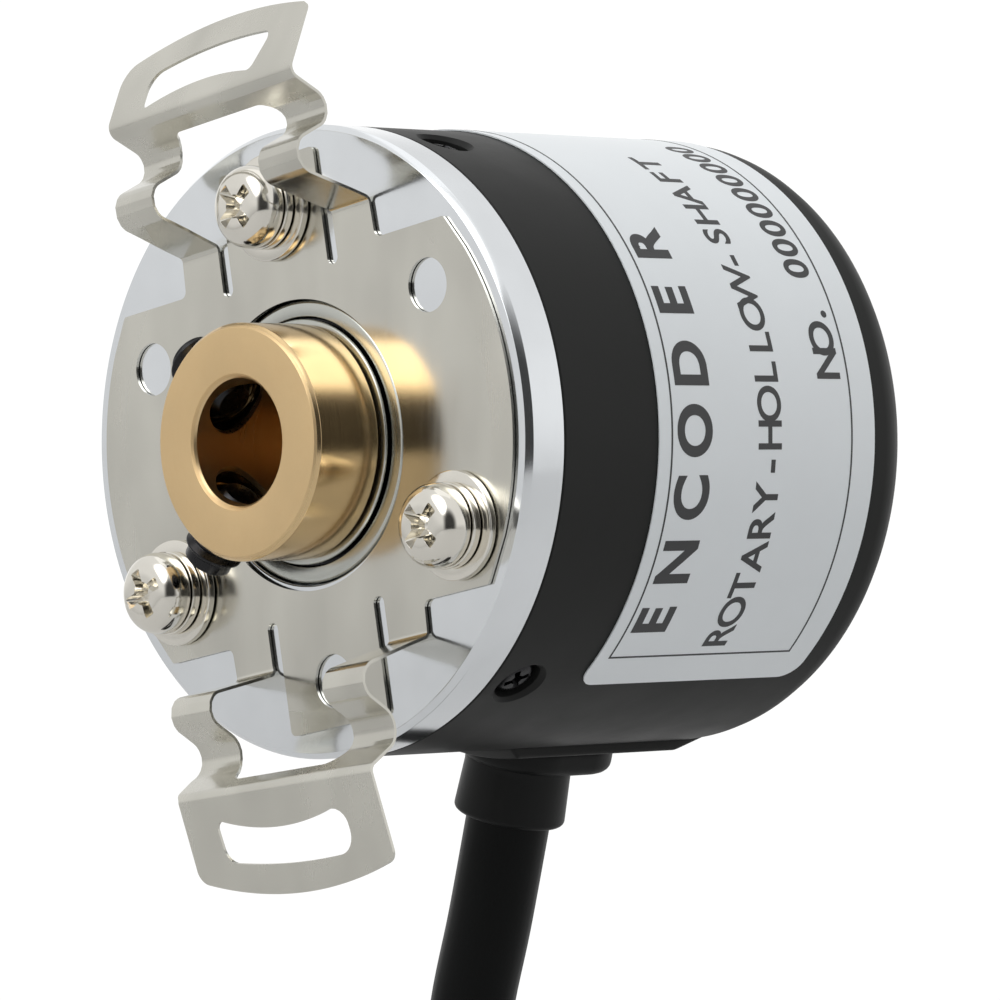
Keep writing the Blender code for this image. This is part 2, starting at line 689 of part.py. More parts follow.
def make_optics():
    place = radial(PATTERN_ANGLE, 0)
    half = 2.5 * MM
    profile = [
        (5.2 * MM, 11.5 * MM),
        (5.2 * MM, 14 * MM),
        (16.3 * MM, 14 * MM),
        (16.3 * MM, 8.9 * MM),
        (14.6 * MM, 8.9 * MM),
        (14.6 * MM, 11.5 * MM),
    ]
    bm = bmesh.new()
    face = bm.faces.new([bm.verts.new((y, -half, reach)) for y, reach in profile])
    pulled = bmesh.ops.extrude_face_region(bm, geom=[face])["geom"]
    risen = [item for item in pulled if isinstance(item, bmesh.types.BMVert)]
    bmesh.ops.translate(bm, verts=risen, vec=(0, 2 * half, 0))
    holder = add("emitter_holder", finished(bm), "black_plastic", place, smooth=False)
    line = at_pattern(PATTERN_ANGLE, 10.3 * MM)
    drill(holder, "emitter_seat", 1.3 * MM, 14 * MM, 17 * MM, [line], 12)
    dome = [
        (0, 14.9 * MM),
        (MM, 14.9 * MM),
        (MM, 15.9 * MM),
        (0.7 * MM, 16.35 * MM),
        (0, 16.5 * MM),
    ]
    add("light_emitter", turned(dome, 12), "lens", line)
    add("reticle_mask", block((17.4 * MM, -1.9 * MM, 8.9 * MM), (17.8 * MM, 1.9 * MM, 11.9 * MM)),
        "disc_film", place, smooth=False)
    add("photodetector", block((18 * MM, -2.2 * MM, 8.7 * MM), (19.2 * MM, 2.2 * MM, 12.2 * MM)),
        "chip", place, smooth=False)


def make_board():
    board = tube_outline(6.9 * MM, 17.6 * MM, 19.4 * MM, 20.4 * MM)
    circuit = add("circuit_board", turned(board), "board")
    lines = [at_pattern(a, 13.9 * MM) for a in FREE_HOLE_ANGLES]
    drill(circuit, "board_hole", 1.25 * MM, 19 * MM, 21 * MM, lines, 12)
    for number, line in enumerate(lines, 1):
        post = [
            (0, 5.2 * MM),
            (1.8 * MM, 5.2 * MM),
            (1.8 * MM, 19.2 * MM),
            (1.2 * MM, 19.2 * MM),
            (1.2 * MM, 15 * MM),
            (0, 15 * MM),
        ]
        add(f"stand_off_{number}", turned(post, 12), "brass", line)
        cross_screw(
            f"board_screw_{number}", "nickel", line, 1.75 * MM,
            (20.6 * MM, 21.6 * MM), 0.9 * MM, (16 * MM, 0), 0.9 * MM,
        )
    chips = {
        "signal_chip": ((8.5, 20.55, -1.5), (13, 21.75, 4.5), "chip"),
        "line_driver_chip": ((-13.2, 20.55, -6.5), (-8.6, 21.75, -0.5), "chip"),
        "board_connector": ((-9.5, 20.55, -13.4), (0.4, 24.5, -9.2), "white_plastic"),
        "cable_plug": ((-9, 24.8, -13), (-0.1, 28.2, -9.6), "white_plastic"),
    }
    for name, (low, high, colour) in chips.items():
        mesh = block(Vector(low) * MM, Vector(high) * MM)
        add(name, mesh, colour, Matrix.Identity(4), smooth=False)
    can = [
        (0, 20.55 * MM),
        (2 * MM, 20.55 * MM),
        (2 * MM, 25.2 * MM),
        (1.7 * MM, 25.6 * MM),
        (0, 25.6 * MM),
    ]
    add("filter_capacitor", turned(can, 12), "aluminium", at_pattern(-25, 11.5 * MM))


# Cable

def make_gland():
    collar = [
        (0, 20.2 * MM),
        (3.55 * MM, 20.2 * MM),
        (3.7 * MM, 25.1 * MM),
        (3.3 * MM, GLAND_END),
        (0, GLAND_END),
    ]
    place = radial(CABLE_ANGLE, CABLE_Y)
    gland = add("cable_gland", turned(collar, 24), "rubber", place)
    front = [polar(PAD_HALF_WIDTH, angle) for angle in range(90, 271, 15)]
    rear = [(x + PAD_REACH, y) for x, y in (polar(PAD_HALF_WIDTH, angle) for angle in range(-90, 91, 15))]
    boolean(gland, guide("gland_pad", prism(front + rear, 19.2 * MM, 21.65 * MM), place), "UNION")
    housing = rod(BOSS_RADIUS + 0.15 * MM, 10 * MM, 40 * MM, 80)
    boolean(gland, guide("cut_gland_seat", housing, ALONG_SHAFT))
    neck = guide("gland_neck", rod(3.7 * MM, 17.6 * MM, 21.5 * MM, 24), place)
    boolean(gland, neck, "UNION")
    ferrule = tube_outline(2.2 * MM, 3.7 * MM, 15.6 * MM, 17.2 * MM)
    add("cable_clamp", turned(ferrule, SMALL_ROUND), "bearing_steel", place)


def smooth_line(points, steps):
    """A smooth curve through the points, read at the given number of steps between them."""
    ends = [points[0] * 2 - points[1]] + list(points) + [points[-1] * 2 - points[-2]]
    line = []
    for before, a, b, after in zip(ends, ends[1:], ends[2:], ends[3:]):
        for step in range(steps):
            t = step / steps
            line.append(
                0.5 * (2 * a + (b - before) * t + (2 * before - 5 * a + 4 * b - after) * t * t
                       + (3 * a - before - 3 * b + after) * t ** 3)
            )
    return line + [points[-1]]


def cord(name, points, radius, colour):
    curve = bpy.data.curves.new(name, "CURVE")
    curve.dimensions = "3D"
    curve.bevel_depth = radius
    curve.bevel_resolution = 2
    curve.use_fill_caps = True
    spline = curve.splines.new("POLY")
    spline.points.add(len(points) - 1)
    for spot, point in zip(spline.points, points):
        spot.co = (*point, 1)
    curve.materials.append(material(colour))
    tube = bpy.data.objects.new(name, curve)
    bpy.context.scene.collection.objects.link(tube)


def make_cable():
    route = [Vector((x * MM, CABLE_Y, z * MM)) for x, z in CABLE_ROUTE]
    cord("cable_lead", smooth_line(route, ROUTE_STEPS), CABLE_RADIUS, "cable_jacket")
    outer = COIL_RADIUS + COIL_HALF_THICKNESS
    inner = COIL_RADIUS - COIL_HALF_THICKNESS
    bundle = [
        (outer, -0.6 * COIL_HALF_WIDTH),
        (outer, 0.6 * COIL_HALF_WIDTH),
        (COIL_RADIUS + 0.4 * COIL_HALF_THICKNESS, COIL_HALF_WIDTH),
        (COIL_RADIUS - 0.4 * COIL_HALF_THICKNESS, COIL_HALF_WIDTH),
        (inner, 0.6 * COIL_HALF_WIDTH),
        (inner, -0.6 * COIL_HALF_WIDTH),
        (COIL_RADIUS - 0.4 * COIL_HALF_THICKNESS, -COIL_HALF_WIDTH),
        (COIL_RADIUS + 0.4 * COIL_HALF_THICKNESS, -COIL_HALF_WIDTH),
    ]
    coil = Matrix.Translation(COIL_CENTRE) @ ALONG_SHAFT
    add("cable_coil", turned(bundle), "cable_jacket", coil)


def main():
    for old in list(bpy.data.objects):
        bpy.data.objects.remove(old, do_unlink=True)
    shaft_axis = joint_empty("shaft_axis", (0, 0, 0))
    make_flange()
    make_cover()
    make_label()
    make_seals()
    make_spring_plate()
    make_plate_screws()
    make_cover_screws()
    make_shaft(shaft_axis)
    make_set_screws(shaft_axis)
    make_bearing("front", FRONT_BEARING_Y, 1)
    make_bearing("rear", REAR_BEARING_Y, -1)
    make_disc(shaft_axis)
    make_optics()
    make_board()
    make_gland()
    make_cable()


main()
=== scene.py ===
"""Looks of the hollow-shaft rotary encoder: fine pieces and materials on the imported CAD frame.

The frame is the CAD's: metres, the shaft's axis along Y, the hub towards -Y, +Z up. Angles round the
shaft are measured from +X towards +Z, in degrees.
"""

import json
import math

import bmesh
import bpy
from mathutils import Matrix, Vector


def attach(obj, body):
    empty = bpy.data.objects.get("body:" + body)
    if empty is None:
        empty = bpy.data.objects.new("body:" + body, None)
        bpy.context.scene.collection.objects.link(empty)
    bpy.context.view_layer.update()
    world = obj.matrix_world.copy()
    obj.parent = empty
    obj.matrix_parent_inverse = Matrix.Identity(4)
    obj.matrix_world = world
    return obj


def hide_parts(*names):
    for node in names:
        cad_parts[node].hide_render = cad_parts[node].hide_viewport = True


MM = 0.001
MICRON = 0.000001

# Camera
CAMERA_PLACE = Vector((0.264864, -0.244002, 0.0))
CAMERA_FORWARD = Vector((-0.71192, 0.70219, -0.01018))
CAMERA_RIGHT = Vector((0.70223, 0.71195, -0.00083))
CAMERA_LENS = 205.65

# Housing
BODY_RADIUS = 20 * MM
REAR_EDGE_RADIUS = 3 * MM
FLANGE_RIM = 3.05 * MM
COVER_START = 3.12 * MM
COVER_BORE = 18.75 * MM
SPIGOT_RADIUS = 18.25 * MM

# Shaft and hub
SHAFT_BORE = 4 * MM
SHAFT_RADIUS = 5.9 * MM
SHAFT_END = 35.38 * MM
HUB_FRONT = -5.85 * MM
HUB_BACK = -0.6 * MM
HUB_RADIUS = 7.45 * MM
SET_SCREW_ANGLES = (143, -128)
SET_SCREW_RADIUS = 1.9 * MM
SET_SCREW_ENDS = (9.25 * MM, 9.7 * MM)
THREAD_PITCH = 0.7 * MM
SET_SCREW_Y = -3 * MM

# Screw pattern
PATTERN_ANGLE = 101
SCREW_LAG = 0.85
PATTERN_RADIUS = 15.05 * MM
SCREW_ANGLES = tuple(PATTERN_ANGLE - SCREW_LAG - 120 * i for i in range(3))
FREE_HOLE_ANGLES = tuple(PATTERN_ANGLE - 60 - 120 * i for i in range(3))
COVER_SCREW_ANGLES = tuple(PATTERN_ANGLE - 30 - 120 * i for i in range(3))
COVER_SCREW_Y = 6 * MM
# How far each plate screw is turned, and the depth of a recess over the height of its head
SCREW_TURNS = (45, 42, 62)
RECESS_DEPTH = 0.5

# Spring plate, as drawn flat: u across the ears, w along them
SHEET = 0.2 * MM
PLATE_RADIUS = 18.85 * MM
PLATE_HOLE = 9.2 * MM
HOLE_DROP = 0.2 * MM
SCREW_HOLE = 1.7 * MM
SHOULDER_W = {1: 11.2 * MM, -1: 11.7 * MM}
SLIT_END_W = {1: 10.4 * MM, -1: 10.75 * MM}
LEG_INNER_U = 5.25 * MM
SLIT_U = 5.45 * MM
LEG_OUTER_U = 8.9 * MM
TAB_U = 4.5 * MM
TAB_END_W = 18.1 * MM
BAR_W = 20.75 * MM
CREASE_W = 21.6 * MM
# Ears, in millimetres of (u, w): both sides, the arc at the end as (middle, radius), and the corners' radii
EAR_SIDES = {1: (-9.0, 8.9), -1: (-8.35, 8.9)}
EAR_ARC = {1: ((0.9, -8.8), 36.0), -1: ((0.8, -0.3), 28.65)}
EAR_CORNERS = {1: (1.6, 0.6), -1: (1.0, 0.8)}
# Slots: the arcs nearer to and farther from the shaft, and for each the (u, radius) of its two corners
SLOT_NEAR = {1: ((-0.1, 1.15), 22.14), -1: ((0.25, 7.4), 16.75)}
SLOT_FAR = {1: ((0.9, -9.95), 35.45), -1: ((1.9, -16.8), 43.3)}
SLOT_NEAR_CORNERS = {1: ((-5.95, 0.5), (4.75, 0.6)), -1: ((-5.55, 0.5), (5.8, 1.1))}
SLOT_FAR_CORNERS = {1: ((-5.9, 1.35), (6.0, 0.5)), -1: ((-5.45, 1.1), (5.85, 1.4))}
# Front of the sheet ahead of the flange along each leg: (w, depth, bend radius), in millimetres
LEG_PROFILE = {
    1: (
        (0, 0.26, 0), (13.7, 0.26, 0.35), (16.4, 7.95, 1.7),
        (19.4, 1.35, 2.0), (21.7, 5.5, 0.8), (30, 0.95, 0),
    ),
    -1: (
        (0, 0.26, 0), (13.85, 0.26, 0.35), (15.6, 8.1, 1.35),
        (19.2, 2.95, 1.35), (21.4, 6.9, 0.7), (30, 5.2, 0),
    ),
}
# How far the bend lines and the sheet's depth run out of square, per unit of u
BEND_SKEW = {1: -0.014, -1: 0.037}
SKEW_START_W = 13.8 * MM
DEPTH_TILT = {1: 0.024, -1: -0.028}
TILT_START_W = {1: 13.8 * MM, -1: 19 * MM}
# The sheet is duller beyond this distance from the shaft, on its legs and ears
DULL_RADIUS = 17 * MM

# Label
LABEL_RADIUS = 20.06 * MM
LABEL_FRONT = 11.29 * MM
LABEL_SKEW = 0.319 * MM
LABEL_WIDTH = 19.98 * MM
LABEL_ANGLES = (-49.5, 122)
# Height of a capital letter in a font of size 1
LETTER_HEIGHT = 0.70
# The printed frame: its line's width, and its distances from the label's ends (degrees) and long edges
FRAME_LINE = 0.14 * MM
FRAME_INSET = 7
FRAME_EDGES = (1.05 * MM, 17.85 * MM)
FILM_LIFT = 0.06 * MM
INK_LIFT = 0.075 * MM
# Generic words: text, start angle, its front and back from the label's front edge, pitch and extra weight
LABEL_WORDS = (
    ("ENCODER", -40, 1.7 * MM, 4.6 * MM, 4.2 * MM, 0.14 * MM),
    ("ROTARY-HOLLOW-SHAFT", -41, 9.0 * MM, 11.1 * MM, 1.97 * MM, 0.05 * MM),
    ("NO. 000000000", 12, 14.9 * MM, 17.0 * MM, 1.68 * MM, 0.07 * MM),
)

# Cable
CABLE_RADIUS = 2.85 * MM
CABLE_LENGTH = 1.0
CABLE_ANGLE = -104.5
CABLE_Y = 24.4 * MM
GLAND_END = 25.8 * MM
PAD_HALF_WIDTH = 3.9 * MM
PAD_REACH = 3.2 * MM
COIL_CENTRE = Vector((-8.3 * MM, CABLE_Y, -100.5 * MM))
COIL_RADIUS = 32 * MM
# Centre line from the gland to the coil, (x, z) in millimetres, all at the cable's Y
CABLE_ROUTE = (
    (-6.53, -25.3), (-8.25, -32.0), (-10.05, -38.3), (-11.05, -45.3), (-9.95, -52.6),
    (-6.8, -59.3), (-1.0, -65.2),
)
# Where the strand lies in the bundle, turn by turn: (away from the coil's centre, along Y)
STRAND = 2.87 * MM
COIL_SLOTS = (
    (0.866 * STRAND, 0), (0.866 * STRAND, 2 * STRAND), (-0.866 * STRAND, STRAND),
    (-0.866 * STRAND, -STRAND), (0.866 * STRAND, -2 * STRAND),
)
COIL_ENTRY_ANGLE = 68
# Where the strand moves over to its next place, in degrees from the end of each turn
CROSSOVERS = (-20, -65, -110, -155)
CORE_LENGTH = 22 * MM
CORE_RADIUS = 0.62 * MM
TIE_ANGLES = (57, -135)

# Studio: each zone is a direction and the two cosines between which it fades in
FLOOR_Z = -165 * MM
FLOOR_RADIUS = 1.25
WALL_ZONE = ((0, 0, 1), -0.16, 0.12)
CEILING_ZONE = ((0, 0, 1), 0.4, 0.98)
PAPER_ZONE = ((-0.34, 0.94, -0.05), 0.2, 0.80)
LOW_ZONE = ((0, 0, -1), -0.55, -0.2)
OPEN_ZONE = ((0.73, -0.68, 0.07), 0.72, 0.95)
KEY_ZONE = ((0.05, -0.72, 0.68), 0.88, 0.955)
GROUND_LEVEL = 0.50
WALL_GAIN = 0.30
CEILING_GAIN = 0.05
PAPER_LEVEL = 1.04
OPEN_LOSS = 0.94
KEY_GAIN = 2.1
TOP_POWER = 0.4

# Facets round a full turn of the large pieces and of the small ones
ROUND = 256
SMALL_ROUND = 64

# The middle range of a noise texture, spread over the whole of a look's range
NOISE_LOW, NOISE_HIGH = 0.3, 0.7

ALONG_SHAFT = Matrix.Rotation(-math.pi / 2, 4, "X")


# Placing

def polar(radius, degrees):
    angle = math.radians(degrees)
    return radius * math.cos(angle), radius * math.sin(angle)


def at_pattern(degrees):
    """A line parallel to the shaft in the screw pattern; heights along it are world Y."""
    x, z = polar(PATTERN_RADIUS, degrees)
    return Matrix.Translation((x, 0, z)) @ ALONG_SHAFT


def radial(degrees, y):
    """A line square to the shaft; heights along it are distances from the shaft's axis."""
    c, s = polar(1, degrees)
    return Matrix(((0, -s, c, 0), (1, 0, 0, y), (0, c, s, 0), (0, 0, 0, 1)))


def spun(place, degrees):
    return place @ Matrix.Rotation(math.radians(degrees), 4, "Z")


def in_mm(*points):
    """The points, given in millimetres, in metres."""
    return [tuple(value * MM for value in point) for point in points]


# Meshes

def linked(name, data):
    """A new object in the scene that shows the data."""
    made = bpy.data.objects.new(name, data)
    bpy.context.scene.collection.objects.link(made)
    return made


def soften(outline, radius, steps=3):
    """Rounds the corners of a closed outline. A point may carry its own radius as a third value."""
    points = [Vector(point[:2]) for point in outline]
    radii = [point[2] if len(point) > 2 else radius for point in outline]
    count = len(points)

    def opening(i):
        return (points[i - 1] - points[i]).angle(points[(i + 1) % count] - points[i], math.pi)

    corners = [i for i in range(count) if radii[i] > 0 and opening(i) < math.radians(172)]
    if not corners:
        return [tuple(point) for point in points]

    def room(i, step):
        """Length of the outline from corner i to the next one."""
        length = 0
        while True:
            length += (points[(i + step) % count] - points[i]).length
            i = (i + step) % count
            if i in corners:
                return length

    def walk(i, step, distance):
        """The place that far along the outline from corner i, and the points passed on the way."""
        passed = []
        while True:
            following = (i + step) % count
            span = (points[following] - points[i]).length
            if span >= distance:
                return points[i].lerp(points[following], distance / span), passed
            distance -= span
            passed.append(following)
            i = following

    arcs = {}
    gone = set()
    for i in corners:
        half = opening(i) / 2
        cut = min(radii[i] / math.tan(half), 0.47 * room(i, -1), 0.47 * room(i, 1))
        first, before = walk(i, -1, cut)
        last, after = walk(i, 1, cut)
        gone.update(before + after)
        bisector = (first - points[i]).normalized() + (last - points[i]).normalized()
        middle = points[i] + bisector.normalized() * cut / math.cos(half)
        a, b = first - middle, last - middle
        arcs[i] = [
            tuple(middle + a.lerp(b, t).normalized() * (a.length + (b.length - a.length) * t))
            for t in (step / steps for step in range(steps + 1))
        ]
    rounded = []
    for i in range(count):
        if i in arcs:
            rounded += arcs[i]
        elif i not in gone:
            rounded.append(tuple(points[i]))
    return rounded


def ring_section(inner, outer, low, high, corner):
    """The rounded section of a ring, from its radii and heights in millimetres."""
    return soften(in_mm((inner, low), (outer, low), (outer, high), (inner, high)), corner * MM)


def finished(bm, place=None):
    bmesh.ops.recalc_face_normals(bm, faces=bm.faces)
    mesh = bpy.data.meshes.new("mesh")
    bm.to_mesh(mesh)
    bm.free()
    if place:
        mesh.transform(place)
    return mesh


def turned(outline, place=ALONG_SHAFT, segments=ROUND, start=0, sweep=360, climb=0.0):
    """A closed outline of (radius, height), turned about local Z; climb lifts the far end of a sector."""
    bm = bmesh.new()
    whole = sweep >= 360
    steps = segments if whole else segments + 1
    rings = []
    for radius, height in outline:
        if radius < 1e-7:
            rings.append([bm.verts.new((0, 0, height))] * steps)
            continue
        ring = []
        for i in range(steps):
            x, y = polar(radius, start + sweep * i / segments)
            ring.append(bm.verts.new((x, y, height + climb * i / segments)))
        rings.append(ring)
    for a, b in zip(rings, rings[1:] + rings[:1]):
        for i in range(segments):
            j = (i + 1) % steps
            corners = list(dict.fromkeys((a[i], a[j], b[j], b[i])))
            if len(corners) > 2:
                bm.faces.new(corners)
    if not whole:
        bm.faces.new([ring[0] for ring in rings])
        bm.faces.new([ring[-1] for ring in rings])
    return finished(bm, place)


def rod(radius, low, high, place, segments=SMALL_ROUND, flare=0.0, flare_at=None):
    """A plain cutter; flare widens it by that much over the same height, at flare_at and beyond."""
    if not flare:
        return turned([(0, low), (radius, low), (radius, high), (0, high)], place, segments)
    side = 1 if flare_at > low else -1
    outline = [
        (0, low),
        (radius, low),
        (radius, flare_at - side * flare),
        (radius + 2 * flare, flare_at + side * flare),
        (radius + 2 * flare, high),
        (0, high),
    ]
    return turned(outline, place, segments)


def prism(outline, low, high, place, taper=1.0):
    """A flat outline of (x, y), drawn out along local Z; taper scales its low end."""
    bm = bmesh.new()
    base = [bm.verts.new((x * taper, y * taper, low)) for x, y in outline]
    top = [bm.verts.new((x, y, high)) for x, y in outline]
    bm.faces.new(base)
    bm.faces.new(top)
    for i in range(len(outline)):
        j = (i + 1) % len(outline)
        bm.faces.new((base[i], base[j], top[j], top[i]))
    return finished(bm, place)


def baked(mesh, modify):
    """The mesh after the modifiers that modify adds to an object holding it."""
    holder = linked("holder", mesh)
    helpers = modify(holder) or []
    graph = bpy.context.evaluated_depsgraph_get()
    result = bpy.data.meshes.new_from_object(holder.evaluated_get(graph))
    for thing in [holder] + helpers:
        bpy.data.objects.remove(thing, do_unlink=True)
    return result


def carved(mesh, tools, operation="DIFFERENCE"):
    """The mesh after the tool meshes are cut from it or joined to it."""
    def modify(holder):
        cutters = []
        for tool in tools:
            cutter = linked("cutter", tool)
            step = holder.modifiers.new("Cut", "BOOLEAN")
            step.operation = operation
            step.solver = "EXACT"
            step.object = cutter
            cutters.append(cutter)
        return cutters
    return baked(mesh, modify)


def bevel(holder, width, segments, angle):
    """Rounds the edges that turn by more than angle."""
    step = holder.modifiers.new("Edges", "BEVEL")
    step.width = width
    step.segments = segments
    step.limit_method = "ANGLE"
    step.angle_limit = math.radians(angle)
    return step


def edged(mesh, width, angle=40):
    """The mesh with its sharp edges rounded and its faces still shaded flat up to them."""
    mesh.shade_smooth()
    mesh.set_sharp_from_angle(angle=math.radians(angle))

    def modify(holder):
        step = bevel(holder, width, 2, angle)
        step.use_clamp_overlap = True
        step.harden_normals = True
    return baked(mesh, modify)


def piece(name, mesh, material, body="housing", replaces=(), angle=38):
    """One visible piece that rides on a body."""
    mesh.name = name
    rounded = mesh.has_custom_normals
    if not rounded:
        mesh.shade_smooth()
        mesh.set_sharp_from_angle(angle=math.radians(angle))
    mesh.materials.clear()
    mesh.materials.append(material)
    made = linked(name, mesh)
    if not rounded:
        weigh = made.modifiers.new("Normals", "WEIGHTED_NORMAL")
        weigh.keep_sharp = True
    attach(made, body)
    if replaces:
        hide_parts(*replaces)
    return made


# Materials

class Look:
    """A material under construction: a Principled BSDF and the nodes that feed it."""

    def __init__(self, name, colour, roughness, metallic=0.0):
        self.material = bpy.data.materials.new(name)
        self.material.use_nodes = True
        self.tree = self.material.node_tree
        self.shader = self.tree.nodes["Principled BSDF"]
        self.colour = (*colour, 1)
        self.shader.inputs["Base Color"].default_value = self.colour
        self.shader.inputs["Roughness"].default_value = roughness
        self.shader.inputs["Metallic"].default_value = metallic
        self.material.diffuse_color = self.colour
        self.place = self.tree.nodes.new("ShaderNodeTexCoord").outputs["Object"]
        self.last_bump = None

    def node(self, kind, **inputs):
        made = self.tree.nodes.new(kind)
        for key, value in inputs.items():
            self.feed(made.inputs[int(key[1:]) if key[0] == "i" and key[1:].isdigit() else key], value)
        return made

    def feed(self, socket, value):
        if isinstance(value, bpy.types.NodeSocket):
            self.tree.links.new(value, socket)
        else:
            socket.default_value = value

    def math(self, operation, a, b):
        made = self.node("ShaderNodeMath", i0=a, i1=b)
        made.operation = operation
        return made.outputs[0]

    def roughen(self, extra):
        """Adds a value to the roughness that the nodes already give."""
        socket = self.shader.inputs["Roughness"]
        self.feed(socket, self.math("ADD", socket.links[0].from_socket, extra))

    def from_shaft(self):
        """The square of the distance from the shaft's axis, and Y."""
        x, y, z = self.node("ShaderNodeSeparateXYZ", Vector=self.place).outputs
        return self.math("ADD", self.math("MULTIPLY", x, x), self.math("MULTIPLY", z, z)), y

    def stretched(self, scale):
        """Object coordinates scaled per axis."""
        return self.node("ShaderNodeMapping", Vector=self.place, Scale=scale).outputs[0]

    def lathe(self):
        """Coordinates that change across turning marks: distance from the shaft's axis, and Y."""
        split = self.node("ShaderNodeSeparateXYZ", Vector=self.place)
        flat = self.node("ShaderNodeCombineXYZ", X=split.outputs[0], Z=split.outputs[2])
        length = self.node("ShaderNodeVectorMath", i0=flat.outputs[0])
        length.operation = "LENGTH"
        return self.node("ShaderNodeCombineXYZ", X=length.outputs["Value"], Y=split.outputs[1]).outputs[0]

    def noise(self, where, scale, detail=4.0, rough=0.55):
        made = self.node("ShaderNodeTexNoise", Vector=where, Scale=scale, Detail=detail, Roughness=rough)
        return made.outputs["Fac"]

    def spread(self, value, low, high):
        """The middle range of a noise, drawn out from low to high."""
        made = self.node("ShaderNodeMapRange", Value=value)
        ends = (("From Min", NOISE_LOW), ("From Max", NOISE_HIGH), ("To Min", low), ("To Max", high))
        for key, number in ends:
            made.inputs[key].default_value = number
        return made.outputs[0]

    def mottle(self, value, low, high):
        """Brightness of the base colour between low and high times itself."""
        mix = self.node("ShaderNodeMix")
        mix.data_type = "RGBA"
        self.feed(mix.inputs[0], self.spread(value, 0, 1))
        mix.inputs[6].default_value = (*(min(1, c * low) for c in self.colour[:3]), 1)
        mix.inputs[7].default_value = (*(min(1, c * high) for c in self.colour[:3]), 1)
        self.feed(self.shader.inputs["Base Color"], mix.outputs[2])

    def polish(self, value, low, high):
        self.feed(self.shader.inputs["Roughness"], self.spread(value, low, high))

    def bump(self, value, height):
        made = self.node("ShaderNodeBump", Height=value, Strength=1.0, Distance=height)
        if self.last_bump:
            self.feed(made.inputs["Normal"], self.last_bump)
        self.last_bump = made.outputs[0]
        self.feed(self.shader.inputs["Normal"], self.last_bump)


def turned_metal(name, colour, roughness, marks):
    """Bright turned metal: fine rings round the shaft's axis."""
    look = Look(name, colour, roughness, 1.0)
    rings = look.noise(look.lathe(), marks, 3.0)
    broad = look.noise(look.place, 180.0)
    look.mottle(broad, 0.96, 1.03)
    both = look.math("ADD", look.math("MULTIPLY", rings, 0.6), look.math("MULTIPLY", broad, 0.4))
    look.polish(both, roughness * 0.8, roughness * 1.25)
    look.bump(rings, 1.2 * MICRON)
    return look


def brass_metal(name, colour, roughness):
    """Brass that is finer on the hub's side than on its faced end and in its bore."""
    look = turned_metal(name, colour, roughness, 6000.0)
    across, along = look.from_shaft()
    bore = look.math("LESS_THAN", across, (SHAFT_BORE + 0.35 * MM) ** 2)
    face = look.math("LESS_THAN", along, HUB_FRONT + 0.15 * MM)
    marks = look.noise(look.stretched((1.0, 0.2, 1.0)), 1400.0, 5.0, 0.7)
    on_face = look.math("MULTIPLY", face, look.spread(marks, 0.17, 0.30))
    look.roughen(look.math("ADD", on_face, look.math("MULTIPLY", bore, 0.13)))
    look.bump(look.math("MULTIPLY", marks, face), 4 * MICRON)
    return look


def plain_metal(name, colour, roughness, grain=(1.0, 1.0, 1.0)):
    """Rolled or plated metal with a faint grain."""
    look = Look(name, colour, roughness, 1.0)
    fine = look.noise(look.stretched(grain), 2600.0, 3.0)
    broad = look.noise(look.place, 240.0)
    look.mottle(broad, 0.95, 1.04)
    both = look.math("ADD", look.math("MULTIPLY", fine, 0.5), look.math("MULTIPLY", broad, 0.5))
    look.polish(both, roughness * 0.75, roughness * 1.3)
    look.bump(fine, 0.8 * MICRON)
    return look


def sheet_metal(name, colour, roughness):
    """Rolled spring steel, with long grain, soft waves, and a duller skin on its bent legs and ears."""
    look = plain_metal(name, colour, roughness, (1.0, 1.0, 0.06))
    bent = look.math("GREATER_THAN", look.from_shaft()[0], DULL_RADIUS ** 2)
    clouds = look.noise(look.stretched((1.0, 1.0, 0.5)), 170.0, 2.0, 0.5)
    look.roughen(look.math("MULTIPLY", bent, look.spread(clouds, 0.02, 0.16)))
    look.mottle(clouds, 0.90, 1.09)
    look.bump(clouds, 15 * MICRON)
    return look


def moulded(name, colour, roughness, pores=3000.0, depth=3, vary=0.12, shine=0.5):
    """Moulded plastic or rubber with a fine skin texture, depth microns deep."""
    look = Look(name, colour, roughness)
    look.shader.inputs["Specular IOR Level"].default_value = shine
    fine = look.noise(look.place, pores, 4.0, 0.6)
    broad = look.noise(look.place, 150.0)
    look.mottle(broad, 1 - vary, 1 + vary)
    look.polish(broad, roughness * 0.9, roughness * 1.12)
    look.bump(fine, depth * MICRON)
    return look


